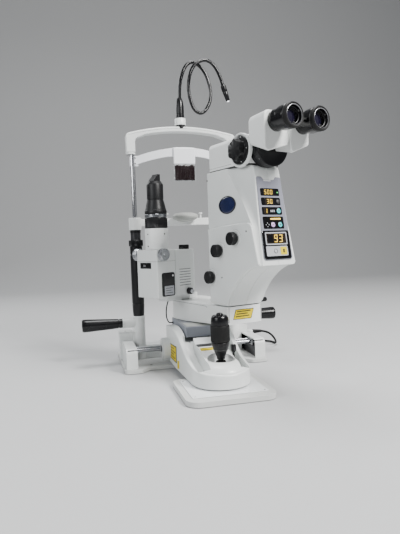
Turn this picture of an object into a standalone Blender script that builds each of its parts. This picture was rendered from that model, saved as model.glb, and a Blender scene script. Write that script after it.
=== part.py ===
"""Laser slit lamp on its rail base, with headrest, illumination tower and laser head.

Metres, +Z up. The operator sits at -Y and the patient at +Y. The origin is on the underside of the
base plate, midway between the two rails. Both arms swing about one vertical pivot.
"""

from math import cos, pi, radians, sin

import bmesh
import bpy
from mathutils import Matrix, Vector

# ---------------------------------------------------------------- driving dimensions
GAP = 0.0003  # clearance that touching pieces keep
PLATE_HALF = 0.176
PLATE_TOP = 0.008
TONGUE_HALF = 0.089
TONGUE_FRONT = -0.340
TONGUE_BACK = -0.176
TONGUE_TOP = 0.010
SHEET_HALF = 0.0758
SHEET_TOP = 0.0113

RAIL_INNER = 0.145
RAIL_OUTER = 0.171
RAIL_FRONT = -0.053
RAIL_BACK = 0.066
RAIL_TOP = 0.056
RAIL_WALL = 0.003

COLUMN_X = 0.126
COLUMN_Y = 0.060
ROD_RADIUS = 0.006
SOCKET_RADIUS = 0.015
SOCKET_TOP = 0.118
SLEEVE_RADIUS = 0.0155
SLEEVE_BORE = 0.0135
SLEEVE_TOP = 0.2945
KNOB_TOP = 0.311
RISER_RADIUS = 0.0128
BEAM_FRONT = 0.052
BEAM_BACK = 0.090
BEAM_TOP = 0.042
HANDLE_Z = 0.101
HANDLE_INNER_LEFT = 0.168
HANDLE_INNER_RIGHT = 0.1425
HANDLE_LENGTH = 0.100
ARCH_LEG_BOTTOM = 0.529
ARCH_SHOULDER = 0.576
ARCH_TOP = 0.595
BAND_HALF = 0.119
BAND_Z = 0.509
BAND_RISE = 0.019
BAND_BULGE = 0.030
CHIN_BAR_Z = 0.354

AXLE_Y = -0.015
AXLE_Z = 0.044
AXLE_RADIUS = 0.005
WHEEL_RADIUS = 0.0085
TIE_ROD_Y = AXLE_Y + 0.014
TIE_ROD_Z = 0.048
TIE_ROD_RADIUS = 0.0022

CARRIAGE_X = 0.002
CARRIAGE_HALF = 0.066
CARRIAGE_NOSE_HALF = 0.060
CARRIAGE_BACK = 0.020
CARRIAGE_NOSE_Y = -0.236
CARRIAGE_BOTTOM = 0.014
FIN_TOP = 0.1025
DECK_Z = 0.0765
DECK_FRONT = -0.128
DECK_HALF = 0.048
CONSOLE_LEFT = -0.029
CONSOLE_RIGHT = 0.033
TROUGH_OUTER = 0.054
RIM_TOP = 0.060
HUB_RADIUS = 0.026
HUB_END = 0.084
LOCK_X = 0.0445
LOCK_Y = -0.192
LOCK_LOW = 0.036
LOCK_TOP = 0.043
LOCK_STEM = 0.0028
LIFT_Y = -0.075
LIFT_RADIUS = 0.018

PIVOT = Vector((0.005, 0.028, 0.0))
STAGE_HALF = 0.0445
STAGE_BOTTOM = 0.086
STAGE_TOP = 0.110
PIVOT_RADIUS = 0.010
LASER_SWING = radians(18.1)
LAMP_SWING = radians(-56.5)

STICK = Vector((0.0036, -0.237, 0.050))

ARM_BOTTOM = 0.111
ARM_TOP = 0.160
ARM_HALF = 0.047
ARM_FRONT = -0.227
HEAD_BACK = -0.158
HEAD_HALF = 0.046
HEAD_BOTTOM = 0.1625
HEAD_TOP = 0.449
NOSE_Y = -0.341
NOSE_Z = 0.250
PANEL_TOP_Y = -0.314
PANEL_TOP_Z = 0.424
SHELL_WALL = 0.003
OPTIC_Z = 0.479
EYE_X = 0.0325
EYE_Z = 0.5165
BASE_Z = 0.482
BASE_FRONT = -0.332
PRISM_FRONT = -0.380
PRISM_AXIS_X = 0.015
PRISM_AXIS_Z = 0.484

TOWER_Y = -0.110
HOUSE_HALF = 0.036
HOUSE_OUTER = -0.144
HOUSE_INNER = -0.019
HOUSE_BOTTOM = 0.174
HOUSE_TOP = 0.285
SLIT_KNOB_Y = -0.131
SLIT_KNOB_Z = 0.274

CABLE_RADIUS = 0.003
CABLE_PORT_END = 0.186
CABLE_FLOOR = 0.0032
COIL_CENTRE = Vector((0.068, 0.252, GAP))
COIL_INNER = 0.024
COIL_OUTER = 0.042
COIL_HEIGHT = 0.012
CABLE_ROUTE = (
    (CABLE_PORT_END + GAP, 0.084, 0.049), (0.205, 0.0845, 0.0488), (0.222, 0.087, 0.0465), (0.240, 0.092, 0.0390),
    (0.255, 0.100, 0.0260), (0.266, 0.111, 0.0120), (0.271, 0.126, CABLE_FLOOR), (0.266, 0.148, CABLE_FLOOR),
    (0.245, 0.169, CABLE_FLOOR), (0.212, 0.184, CABLE_FLOOR), (0.172, 0.196, CABLE_FLOOR),
    (0.132, 0.208, CABLE_FLOOR), (0.110, 0.2125, CABLE_FLOOR), (0.0930, 0.213, CABLE_FLOOR),
)

# ---------------------------------------------------------------- scene and helpers
for leftover in list(bpy.data.objects):
    bpy.data.objects.remove(leftover, do_unlink=True)

PARTS = bpy.data.collections.new("slit_lamp")
CUTTERS = bpy.data.collections.new("slit_lamp_cutters")
bpy.context.scene.collection.children.link(PARTS)
bpy.context.scene.collection.children.link(CUTTERS)


def material(name, colour, roughness, metallic=0.0):
    made = bpy.data.materials.new(name)
    made.use_nodes = True
    shader = made.node_tree.nodes["Principled BSDF"]
    shader.inputs["Base Color"].default_value = (*colour, 1.0)
    shader.inputs["Roughness"].default_value = roughness
    shader.inputs["Metallic"].default_value = metallic
    return made


WHITE = material("white_paint", (0.78, 0.77, 0.74), 0.4)
SHEET_WHITE = material("sheet_white", (0.86, 0.87, 0.90), 0.3)
GREY = material("grey_paint", (0.33, 0.34, 0.37), 0.5)
LIGHT_GREY = material("light_grey_paint", (0.60, 0.60, 0.58), 0.45)
BLACK = material("black_plastic", (0.02, 0.02, 0.022), 0.4)
RUBBER = material("black_rubber", (0.015, 0.015, 0.015), 0.7)
CHROME = material("chrome", (0.85, 0.85, 0.86), 0.12, 1.0)
STEEL = material("brushed_steel", (0.55, 0.56, 0.58), 0.35, 1.0)
PANEL_GREY = material("panel_grey", (0.22, 0.23, 0.27), 0.5)
CARD = material("dark_card", (0.05, 0.04, 0.05), 0.25)


def empty(name, location, angle=0.0, parent=None):
    made = bpy.data.objects.new(name, None)
    made.location = location
    made.rotation_euler = (0.0, 0.0, angle)
    made.parent = parent
    PARTS.objects.link(made)
    return made


def add(name, mesh, finish, at, parent):
    """A mesh as a part, or as a hidden cutter when it has no finish."""
    made = bpy.data.objects.new(name, mesh)
    made.location = at
    made.parent = parent
    if finish is None:
        made.hide_render = True
        made.display_type = "WIRE"
        CUTTERS.objects.link(made)
    else:
        mesh.materials.append(finish)
        PARTS.objects.link(made)
    return made


def mesh_from(name, build, smooth):
    mesh = bpy.data.meshes.new(name)
    bm = bmesh.new()
    build(bm)
    bm.to_mesh(mesh)
    bm.free()
    if smooth:
        mesh.shade_smooth()
        mesh.set_sharp_from_angle(angle=radians(35))
    return mesh


def soften(made, width, segments=2):
    bevel = made.modifiers.new("Bevel", "BEVEL")
    bevel.width = width
    bevel.segments = segments
    bevel.limit_method = "ANGLE"
    bevel.angle_limit = radians(40)


def box(name, finish, low, high, parent=None, at=(0, 0, 0), bevel=0.0):
    """A box between two corners given in the parent's frame; at is where its origin sits."""
    low, high, at = Vector(low), Vector(high), Vector(at)
    size = high - low
    place = Matrix.Translation((low + high) / 2 - at) @ Matrix.Diagonal((*size, 1.0))
    mesh = mesh_from(name, lambda bm: bmesh.ops.create_cube(bm, size=1.0, matrix=place), False)
    made = add(name, mesh, finish, at, parent)
    if bevel:
        soften(made, bevel)
    return made


AXIS_TURN = {
    "X": Matrix.Rotation(pi / 2, 4, "Y"),
    "Y": Matrix.Rotation(-pi / 2, 4, "X"),
    "Z": Matrix.Identity(4),
}


def rod(name, finish, radius, start, end, axis, centre, parent=None, sides=24, radius_end=None, at=None):
    """A cylinder or cone along an axis, from start to end; centre is its axis' crossing point."""
    index = "XYZ".index(axis)
    middle = Vector(centre)
    middle[index] = (start + end) / 2
    origin = middle if at is None else Vector(at)
    place = Matrix.Translation(middle - origin) @ AXIS_TURN[axis]
    far_radius = radius if radius_end is None else radius_end

    def build(bm):
        bmesh.ops.create_cone(
            bm, cap_ends=True, segments=sides, radius1=radius, radius2=far_radius,
            depth=end - start, matrix=place,
        )

    return add(name, mesh_from(name, build, True), finish, origin, parent)


def turned(name, finish, profile, at, parent=None, steps=24, turn=None, closed=False):
    """A Screw of (radius, height) pairs that run down the outer side; closed joins the last to the first."""
    mesh = bpy.data.meshes.new(name)
    edges = [(i, i + 1) for i in range(len(profile) - 1)]
    if closed:
        edges.append((len(profile) - 1, 0))
    mesh.from_pydata([(r, 0.0, z) for r, z in profile], edges, [])
    made = add(name, mesh, finish, at, parent)
    if turn is not None:
        made.rotation_euler = turn
    screw = made.modifiers.new("Screw", "SCREW")
    screw.steps = steps
    screw.render_steps = steps
    screw.use_merge_vertices = True
    screw.merge_threshold = 0.00005
    screw.use_smooth_shade = True
    return made


def rounded(corners, steps=3):
    """An outline from (x, y, fillet radius) corners, each fillet an arc."""
    points = []
    count = len(corners)
    for i, (x, y, radius) in enumerate(corners):
        here = Vector((x, y))
        back = Vector(corners[i - 1][:2]) - here
        on = Vector(corners[(i + 1) % count][:2]) - here
        half = back.angle(on) / 2
        if radius <= 0.0:
            points.append(here)
            continue
        reach = radius / abs(sin(half) / cos(half))
        start = here + back.normalized() * reach
        end = here + on.normalized() * reach
        centre = here + (back.normalized() + on.normalized()).normalized() * (radius / sin(half))
        first, last = start - centre, end - centre
        sweep = first.angle_signed(last)
        for k in range(steps + 1):
            turn = -sweep * k / steps
            spoke = Vector((
                first.x * cos(turn) - first.y * sin(turn),
                first.x * sin(turn) + first.y * cos(turn),
            ))
            points.append(centre + spoke)
    return points


def slab(name, finish, points, low, high, parent=None, at=(0, 0, 0), plane="XY", whole_faces=True):
    """A flat outline given thickness: plane XY is extruded up Z, YZ along X and XZ along Y."""
    curve = bpy.data.curves.new(name, "CURVE")
    curve.dimensions = "2D"
    curve.fill_mode = "BOTH"
    curve.extrude = (high - low) / 2
    spline = curve.splines.new("POLY")
    spline.points.add(len(points) - 1)
    for target, point in zip(spline.points, points):
        target.co = (point[0], point[1], 0.0, 1.0)
    spline.use_cyclic_u = True
    guide = bpy.data.objects.new(name, curve)
    CUTTERS.objects.link(guide)
    bpy.context.view_layer.update()
    mesh = bpy.data.meshes.new_from_object(guide.evaluated_get(bpy.context.evaluated_depsgraph_get()))
    bpy.data.objects.remove(guide)
    middle = (low + high) / 2
    frame = {
        "XY": Matrix(((1, 0, 0, 0), (0, 1, 0, 0), (0, 0, 1, middle), (0, 0, 0, 1))),
        "YZ": Matrix(((0, 0, 1, middle), (1, 0, 0, 0), (0, 1, 0, 0), (0, 0, 0, 1))),
        "XZ": Matrix(((1, 0, 0, 0), (0, 0, -1, middle), (0, 1, 0, 0), (0, 0, 0, 1))),
    }[plane]
    mesh.transform(Matrix.Translation(-Vector(at)) @ frame)
    bm = bmesh.new()
    bm.from_mesh(mesh)
    bmesh.ops.remove_doubles(bm, verts=bm.verts, dist=0.00001)
    if whole_faces:
        bmesh.ops.dissolve_limit(bm, angle_limit=radians(0.2), verts=bm.verts, edges=bm.edges)
    bmesh.ops.recalc_face_normals(bm, faces=bm.faces)
    bm.to_mesh(mesh)
    bm.free()
    mesh.name = name
    mesh.materials.clear()
    return add(name, mesh, finish, at, parent)


def combine(target, others, operation):
    """Booleans of hidden helper shapes onto a part."""
    for other in others:
        step = target.modifiers.new(f"{operation.title()} {other.name}", "BOOLEAN")
        step.operation = operation
        step.solver = "EXACT"
        step.object = other
    return target


def join(target, *others):
    return combine(target, others, "UNION")


def cut(target, *others):
    return combine(target, others, "DIFFERENCE")


def smooth_route(points, per_span=3):
    """Points of a Catmull-Rom curve through the given ones."""
    ends = [points[0] * 2 - points[1], *points, points[-1] * 2 - points[-2]]
    route = []
    for i in range(1, len(ends) - 2):
        a, b, c, d = ends[i - 1 : i + 3]
        for k in range(per_span):
            t = k / per_span
            route.append(
                (b * 2 + (c - a) * t + (a * 2 - b * 5 + c * 4 - d) * t**2 + (b * 3 - a - c * 3 + d) * t**3) / 2
            )
    route.append(points[-1])
    return route


def tube(name, finish, points, radius, parent=None, at=(0, 0, 0)):
    """A wire of round section along a route, as a curve with a bevel depth and filled caps."""
    curve = bpy.data.curves.new(name, "CURVE")
    curve.dimensions = "3D"
    curve.bevel_depth = radius
    curve.bevel_resolution = 2
    curve.use_fill_caps = True
    spline = curve.splines.new("POLY")
    spline.points.add(len(points) - 1)
    for target, point in zip(spline.points, points):
        target.co = (*(Vector(point) - Vector(at)), 1.0)
    curve.materials.append(finish)
    made = bpy.data.objects.new(name, curve)
    made.location = at
    made.parent = parent
    PARTS.objects.link(made)
    return made


# ---------------------------------------------------------------- base and rails
def base_plate():
    step = PLATE_HALF - 0.040
    rear = slab("base_plate", WHITE, rounded([
        (-PLATE_HALF, -0.060, 0.010), (-step, -0.060, 0.010), (-step + 0.020, -0.040, 0.010),
        (step - 0.020, -0.040, 0.010), (step, -0.060, 0.010), (PLATE_HALF, -0.060, 0.010),
        (PLATE_HALF, 0.165, 0.012), (-PLATE_HALF, 0.165, 0.012),
    ]), 0.0, PLATE_TOP)
    neck = box("neck", None, (-0.045, TONGUE_BACK - 0.010, 0.0), (0.045, -0.030, 0.006))
    tongue = slab("tongue", None, rounded([
        (-TONGUE_HALF, TONGUE_BACK, 0.016), (-TONGUE_HALF, TONGUE_FRONT, 0.026),
        (TONGUE_HALF, TONGUE_FRONT, 0.026), (TONGUE_HALF, TONGUE_BACK, 0.016),
    ], 5), 0.0, TONGUE_TOP)
    join(rear, neck, tongue)
    box("slide_sheet", SHEET_WHITE, (-SHEET_HALF, -0.316, TONGUE_TOP + GAP), (SHEET_HALF, -0.191, SHEET_TOP))


def rail(side, name, tail_low, tail_high):
    """A rail cover: open below and towards the middle, with a taller box behind it."""
    inner, outer = sorted((side * RAIL_INNER, side * RAIL_OUTER))
    floor = PLATE_TOP + GAP
    cover = slab(f"rail_cover_{name}", WHITE, rounded([
        (RAIL_FRONT, floor, 0.0), (RAIL_BACK, floor, 0.0),
        (RAIL_BACK, RAIL_TOP, 0.0), (RAIL_FRONT, RAIL_TOP, 0.013),
    ], 4), inner, outer, plane="YZ")
    tail = box(f"tail_{name}", None, (tail_low, RAIL_BACK - 0.006, floor), (tail_high, 0.110, 0.076))
    hollow_low, hollow_high = sorted((side * (RAIL_INNER - 0.004), side * (RAIL_OUTER - RAIL_WALL)))
    hollow = box(
        f"hollow_{name}", None,
        (hollow_low, RAIL_FRONT + RAIL_WALL, 0.0),
        (hollow_high, RAIL_BACK - RAIL_WALL, RAIL_TOP - RAIL_WALL),
    )
    join(cover, tail)
    if side > 0:
        port_axis = (0, *CABLE_ROUTE[0][1:])
        port = rod("cable_port", None, 0.0065, tail_high - 0.004, CABLE_PORT_END, "X", port_axis, sides=20)
        join(cover, port)
    cut(cover, hollow)
    rack_low, rack_high = sorted((side * 0.151, side * 0.166))
    rack_top = AXLE_Z - WHEEL_RADIUS - GAP
    box(f"gear_rack_{name}", STEEL, (rack_low, -0.049, floor), (rack_high, 0.052, rack_top))


# ---------------------------------------------------------------- headrest
def headrest_foot():
    floor = PLATE_TOP + GAP
    reach = RAIL_INNER - 0.0005
    foot = box("headrest_foot", WHITE, (-reach, BEAM_FRONT, floor), (reach, BEAM_BACK, BEAM_TOP))
    for side, name in ((-1, "left"), (1, "right")):
        x = side * COLUMN_X
        socket = rod(f"socket_{name}", None, SOCKET_RADIUS, floor, SOCKET_TOP, "Z", (x, COLUMN_Y, 0))
        low, high = sorted((side * 0.128, side * reach))
        block = box(f"block_{name}", None, (low, BEAM_FRONT - 0.001, 0.030), (high, BEAM_BACK - 0.002, 0.078))
        start, end = sorted((x, -HANDLE_INNER_LEFT if side < 0 else HANDLE_INNER_RIGHT))
        boss = rod(f"boss_{name}", None, 0.0125, start, end, "X", (0, COLUMN_Y, HANDLE_Z), sides=20)
        join(foot, socket, block, boss)


def headrest_side(side, name):
    x = side * COLUMN_X
    grip = [
        (0.0, HANDLE_LENGTH), (0.0130, HANDLE_LENGTH), (0.0160, 0.097), (0.0160, 0.090),
        (0.0145, 0.070), (0.0150, 0.002), (0.0135, 0.0), (0.0, 0.0),
    ]
    inner = HANDLE_INNER_LEFT if side < 0 else HANDLE_INNER_RIGHT
    turned(
        f"handle_grip_{name}", RUBBER, grip, (side * (inner + GAP), COLUMN_Y, HANDLE_Z),
        steps=20, turn=(0.0, side * pi / 2, 0.0),
    )
    top = SLEEVE_TOP if side < 0 else KNOB_TOP
    bottom = SOCKET_TOP + GAP
    turned(f"column_sleeve_{name}", BLACK, [
        (SLEEVE_RADIUS, top - bottom), (SLEEVE_RADIUS, 0.030), (0.0140, 0.0),
        (0.0100, 0.0), (SLEEVE_BORE, 0.020), (SLEEVE_BORE, top - bottom),
    ], (x, COLUMN_Y, bottom), closed=True)
    rod(f"column_rod_{name}", CHROME, ROD_RADIUS, bottom, ARCH_LEG_BOTTOM - GAP, "Z", (x, COLUMN_Y, 0), sides=16)


def height_knob():
    low = SLEEVE_TOP + GAP
    turned("height_knob", BLACK, [
        (0.0170, KNOB_TOP - low), (0.0178, KNOB_TOP - low - 0.002), (0.0178, 0.002),
        (0.0170, 0.0), (SLEEVE_BORE, 0.0), (SLEEVE_BORE, KNOB_TOP - low),
    ], (-COLUMN_X, COLUMN_Y, low), closed=True)


def headrest_arch():
    half = 0.1415
    spans = 12
    thick = 0.013

    def crown(x, drop):
        return ARCH_TOP - drop - (ARCH_TOP - ARCH_SHOULDER) * (x / half) ** 2

    stations = [half * (2 * i / spans - 1) for i in range(spans + 1)]
    over = [(x, crown(x, 0.0)) for x in stations]
    leg_inner = half - 0.0225
    knee = ARCH_LEG_BOTTOM + 0.018
    under = [(x, crown(x, thick)) for x in reversed(stations) if abs(x) < half - 0.030]
    outline = [
        (-half, ARCH_LEG_BOTTOM), *over, (half, ARCH_LEG_BOTTOM), (leg_inner, ARCH_LEG_BOTTOM),
        (leg_inner, knee), *under, (-leg_inner, knee), (-leg_inner, ARCH_LEG_BOTTOM),
    ]
    arch = slab("headrest_arch", WHITE, outline, COLUMN_Y - 0.012, COLUMN_Y + 0.012, plane="XZ")
    join(arch, rod("lamp_socket", None, 0.0140, ARCH_TOP - 0.008, 0.617, "Z", (0, COLUMN_Y, 0), sides=20))


def forehead_band():
    spans = 16

    def centre(x):
        return COLUMN_Y - BAND_BULGE * (1 - (x / BAND_HALF) ** 2)

    stations = [BAND_HALF * (2 * i / spans - 1) for i in range(spans + 1)]
    front = [(x, centre(x) - 0.003) for x in stations]
    back = [(x, centre(x) + 0.003) for x in reversed(stations)]
    band = slab("forehead_band", WHITE, front + back, BAND_Z - 0.010, BAND_Z + 0.010, whole_faces=False)
    for corner in band.data.vertices:
        corner.co.z += BAND_RISE * (1 - (corner.co.x / BAND_HALF) ** 2)
    for side, name in ((-1, "left"), (1, "right")):
        low, high = sorted((side * 0.112, side * 0.1325))
        clamp = box(f"band_clamp_{name}", None, (low, 0.0565, BAND_Z - 0.012), (high, 0.070, BAND_Z + 0.012))
        bore = rod(
            f"band_bore_{name}", None, ROD_RADIUS + GAP, BAND_Z - 0.02, BAND_Z + 0.02, "Z",
            (side * COLUMN_X, COLUMN_Y, 0), sides=16,
        )
        join(band, clamp)
        cut(band, bore)
    face = COLUMN_Y - BAND_BULGE - 0.003 - GAP
    box("card_sleeve", CARD, (-0.0275, face - 0.0016, 0.454), (0.0275, face, 0.537))


def chin_rest():
    half = CHIN_BAR_Z + 0.009
    bar = box("chin_bar", WHITE, (-0.120, 0.054, CHIN_BAR_Z - 0.009), (0.120, 0.066, half), bevel=0.002)
    bores = []
    for side, name in ((-1, "left"), (1, "right")):
        x = side * COLUMN_X
        bracket = rod(f"bracket_{name}", None, 0.0160, 0.336, 0.365, "Z", (x, COLUMN_Y, 0))
        riser = rod(f"riser_{name}", None, RISER_RADIUS, 0.225, 0.340, "Z", (x, COLUMN_Y, 0))
        stem = rod(f"pin_stem_{name}", None, 0.0025, half - 0.004, 0.374, "Z", (side * 0.045, COLUMN_Y, 0), sides=12)
        head = rod(f"pin_head_{name}", None, 0.0050, 0.373, 0.377, "Z", (side * 0.045, COLUMN_Y, 0), sides=12)
        bores.append(
            rod(f"riser_bore_{name}", None, ROD_RADIUS + GAP, 0.220, 0.370, "Z", (x, COLUMN_Y, 0), sides=16)
        )
        join(bar, bracket, riser, stem, head)
    cut(bar, *bores)

    def dish(bm):
        bmesh.ops.create_uvsphere(bm, u_segments=24, v_segments=10, radius=1.0,
                                  matrix=Matrix.Diagonal((0.0335, 0.026, 0.012, 1.0)))

    cup = add("chin_cup", mesh_from("chin_cup", dish, True), LIGHT_GREY, (0.0, 0.040, 0.366), None)
    hollow = add("cup_hollow", mesh_from("cup_hollow", dish, True), None, (0.0, 0.040, 0.3765), None)
    seat = box("cup_seat", None, (-0.05, 0.054 - GAP, 0.34), (0.05, 0.08, half + GAP))
    cut(cup, hollow, seat)


def fixation_lamp():
    """A lamp on a self-supporting flexible stalk that loops once above the arch."""
    swivel = empty("fixation_lamp_swivel", (0.0, COLUMN_Y, 0.6173))
    boot = turned("lamp_stalk", BLACK, [
        (0.0, 0.051), (0.0055, 0.051), (0.0085, 0.044), (0.0103, 0.030), (0.0103, 0.0), (0.0, 0.0),
    ], (0, 0, 0), swivel, steps=20)
    route = smooth_route([Vector(p) for p in (
        (0.000, 0.000, 0.046), (0.003, 0.000, 0.080), (0.016, 0.000, 0.120), (0.041, 0.000, 0.141),
        (0.066, -0.001, 0.128), (0.080, -0.004, 0.092), (0.077, -0.007, 0.048), (0.052, -0.010, 0.020),
        (0.027, -0.013, 0.040), (0.023, -0.014, 0.078), (0.038, -0.015, 0.118), (0.066, -0.015, 0.143),
        (0.093, -0.014, 0.137), (0.111, -0.012, 0.108), (0.118, -0.010, 0.088),
    )])
    stalk = tube("stalk_guide", BLACK, route, 0.0040, swivel)
    CUTTERS.objects.link(stalk)
    PARTS.objects.unlink(stalk)
    bpy.context.view_layer.update()
    mesh = bpy.data.meshes.new_from_object(stalk.evaluated_get(bpy.context.evaluated_depsgraph_get()))
    bpy.data.objects.remove(stalk)
    bm = bmesh.new()
    bm.from_mesh(mesh)
    bmesh.ops.remove_doubles(bm, verts=bm.verts, dist=0.00001)
    bmesh.ops.recalc_face_normals(bm, faces=bm.faces)
    bm.to_mesh(mesh)
    bm.free()
    join(boot, add("stalk_wire", mesh, None, (0, 0, 0), swivel))
    tip = route[-1]
    along = (route[-1] - route[-2]).normalized()
    head = turned("lamp_head", BLACK, [
        (0.0, 0.042), (0.0040, 0.042), (0.0070, 0.040), (0.0070, 0.022), (0.0045, 0.0), (0.0, 0.0),
    ], tip + along * GAP, swivel, steps=16)
    head.rotation_mode = "QUATERNION"
    head.rotation_quaternion = Vector((0, 0, 1)).rotation_difference(along)


# ---------------------------------------------------------------- cross slide
def cross_slide():
    carrier = rod(
        "axle_carrier", STEEL, TIE_ROD_RADIUS, -0.150, 0.150, "X", (0, TIE_ROD_Y, TIE_ROD_Z), sides=12,
    )
    bores = []
    for side, name in ((-1, "left"), (1, "right")):
        low, high = sorted((side * 0.1470, side * 0.1500))
        cheek = box(f"cheek_{name}", None, (low, AXLE_Y - 0.008, 0.036), (high, TIE_ROD_Y + 0.006, 0.053 - 0.001))
        bores.append(rod(
            f"cheek_bore_{name}", None, AXLE_RADIUS + GAP, side * 0.1485 - 0.004, side * 0.1485 + 0.004,
            "X", (0, AXLE_Y, AXLE_Z), sides=16,
        ))
        join(carrier, cheek)
    cut(carrier, *bores)
    end = 0.1635
    wheel = 0.1515
    profile = [(0.0, 2 * end), (AXLE_RADIUS, 2 * end), (AXLE_RADIUS, end + wheel + 0.010),
               (WHEEL_RADIUS, end + wheel + 0.010), (WHEEL_RADIUS, end + wheel), (AXLE_RADIUS, end + wheel),
               (AXLE_RADIUS, end - wheel), (WHEEL_RADIUS, end - wheel), (WHEEL_RADIUS, end - wheel - 0.010),
               (AXLE_RADIUS, end - wheel - 0.010), (AXLE_RADIUS, 0.0), (0.0, 0.0)]
    turned("axle", CHROME, profile, (-end, AXLE_Y, AXLE_Z), steps=20, turn=(0.0, pi / 2, 0.0))


# ---------------------------------------------------------------- carriage
def hull_outline(inset):
    """The carriage seen from above: straight sides that narrow to a round nose."""
    nose = CARRIAGE_NOSE_HALF - inset
    spans = 12
    arc = [
        (CARRIAGE_X - nose * cos(pi * i / spans), CARRIAGE_NOSE_Y - nose * sin(pi * i / spans))
        for i in range(spans + 1)
    ]
    wide = CARRIAGE_HALF - inset
    back = CARRIAGE_BACK - inset
    return [(CARRIAGE_X + wide, back), (CARRIAGE_X - wide, back), (CARRIAGE_X - wide, -0.090), *arc,
            (CARRIAGE_X + wide, -0.090)]


def carriage():
    above = FIN_TOP + 0.020
    hull = slab("carriage_hull", None, hull_outline(0.0), -0.010, above - 0.005)
    reach = CARRIAGE_HALF + 0.010
    ridge = slab("ridge_cutter", None, [
        (-0.320, 0.040), (-0.300, 0.0405), (-0.290, 0.0430), (-0.268, 0.0455), (-0.236, 0.0485), (-0.200, 0.0550),
        (-0.178, 0.0640), (-0.146, 0.0780), (-0.1245, 0.0895), (-0.094, 0.0985), (-0.060, FIN_TOP),
        (-0.030, FIN_TOP - 0.001), (0.060, 0.092), (0.060, above), (-0.320, above),
    ], CARRIAGE_X - reach, CARRIAGE_X + reach, plane="YZ")
    cut(hull, ridge)
    soften(hull, 0.0035, 3)
    shell = slab("carriage_shell", WHITE, hull_outline(-0.001), CARRIAGE_BOTTOM, above)
    step = shell.modifiers.new("Hull", "BOOLEAN")
    step.operation = "INTERSECT"
    step.solver = "EXACT"
    step.object = hull
    nose = CARRIAGE_NOSE_HALF
    dome = turned("nose_dome", None, [
        (0.0, RIM_TOP), (0.0330, RIM_TOP), (0.0420, RIM_TOP - 0.0020), (0.0500, RIM_TOP - 0.0065),
        (0.0560, RIM_TOP - 0.0140), (nose - 0.0015, 0.0360), (nose - 0.0005, 0.0180), (0.0, 0.0180),
    ], (CARRIAGE_X, CARRIAGE_NOSE_Y, 0.0), steps=32)
    console = slab("console", None, [
        (CARRIAGE_NOSE_Y - 0.010, 0.030), (DECK_FRONT + 0.005, 0.030), (DECK_FRONT + 0.005, DECK_Z + 0.0005),
        (-0.175, 0.0735), (-0.205, 0.0680), (CARRIAGE_NOSE_Y, 0.0605), (CARRIAGE_NOSE_Y - 0.010, RIM_TOP - 0.0003),
    ], CONSOLE_LEFT, CONSOLE_RIGHT, plane="YZ")
    deck = box(
        "deck_cutter", None,
        (CARRIAGE_X - DECK_HALF, DECK_FRONT - 0.002, DECK_Z), (CARRIAGE_X + DECK_HALF, 0.040, above),
    )
    over = [(-0.120, 0.0770), (-0.120, above), (-0.300, above)]
    left, right = CARRIAGE_X - TROUGH_OUTER, CARRIAGE_X + TROUGH_OUTER
    floor = [
        (-0.300, 0.0660), (-0.278, 0.0520), (-0.262, 0.0430), (-0.224, 0.0350), (-0.160, 0.0480), (-0.142, 0.0560),
    ]
    trough_left = slab("trough_left", None, [*floor, *over], left, CONSOLE_LEFT, plane="YZ")
    trough_right = slab("trough_right", None, [*floor, *over], CONSOLE_RIGHT, right, plane="YZ")
    inside = slab("hull_inside", None, hull_outline(0.004), CARRIAGE_BOTTOM - 0.010, 0.030)
    well = rod("lift_well", None, 0.0245, 0.010, above, "Z", (PIVOT.x, LIFT_Y, 0), sides=28)
    bowl = turned("bowl_cutter", None, [
        (0.0, 0.040), (0.029, 0.040), (0.028, 0.0085), (0.020, -0.006), (0.013, -0.0125), (0.0, -0.0125),
    ], STICK, steps=28)
    hub = rod("hub", None, HUB_RADIUS, CARRIAGE_X - HUB_END, CARRIAGE_X + HUB_END, "X", (0, AXLE_Y, AXLE_Z), sides=28)
    soften(hub, 0.003, 2)
    axle_bore = rod("axle_bore", None, AXLE_RADIUS + GAP, -0.1, 0.1, "X", (0, AXLE_Y, AXLE_Z), sides=20)
    tie_bore = rod("tie_bore", None, TIE_ROD_RADIUS + GAP, -0.1, 0.1, "X", (0, TIE_ROD_Y, TIE_ROD_Z), sides=12)
    join(shell, dome)
    cut(shell, deck, trough_left, trough_right)
    join(shell, console)
    cut(shell, inside, well, bowl)
    lock_bore = rod("lock_bore", None, LOCK_STEM + GAP, LOCK_LOW - GAP, above, "Z", (LOCK_X, LOCK_Y, 0), sides=16)
    join(shell, hub)
    cut(shell, axle_bore, tie_bore, lock_bore)

    chassis = slab("carriage_chassis", STEEL, hull_outline(0.0045), CARRIAGE_BOTTOM, 0.020)
    guide = rod("lift_guide", None, 0.0235, 0.016, 0.072, "Z", (PIVOT.x, LIFT_Y, 0))
    guide_bore = rod("lift_guide_bore", None, LIFT_RADIUS + GAP, 0.0165, 0.080, "Z", (PIVOT.x, LIFT_Y, 0))
    foot = rod("slide_foot", None, 0.013, SHEET_TOP + GAP, 0.018, "Z", (CARRIAGE_X, -0.243, 0), sides=20)
    hub_tunnel = rod("hub_tunnel", None, HUB_RADIUS + 2 * GAP, -0.1, 0.1, "X", (0, AXLE_Y, AXLE_Z), sides=28)
    join(chassis, guide, foot)
    cut(chassis, guide_bore, hub_tunnel)

    turned("lock_knob", BLACK, [
        (0.0, LOCK_TOP), (0.0055, LOCK_TOP), (0.0068, LOCK_TOP - 0.002), (0.0068, LOCK_TOP - 0.014),
        (0.0045, LOCK_TOP - 0.016), (LOCK_STEM, LOCK_TOP - 0.018), (LOCK_STEM, 0.0), (0.0, 0.0),
    ], (LOCK_X, LOCK_Y, LOCK_LOW), steps=16)


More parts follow.
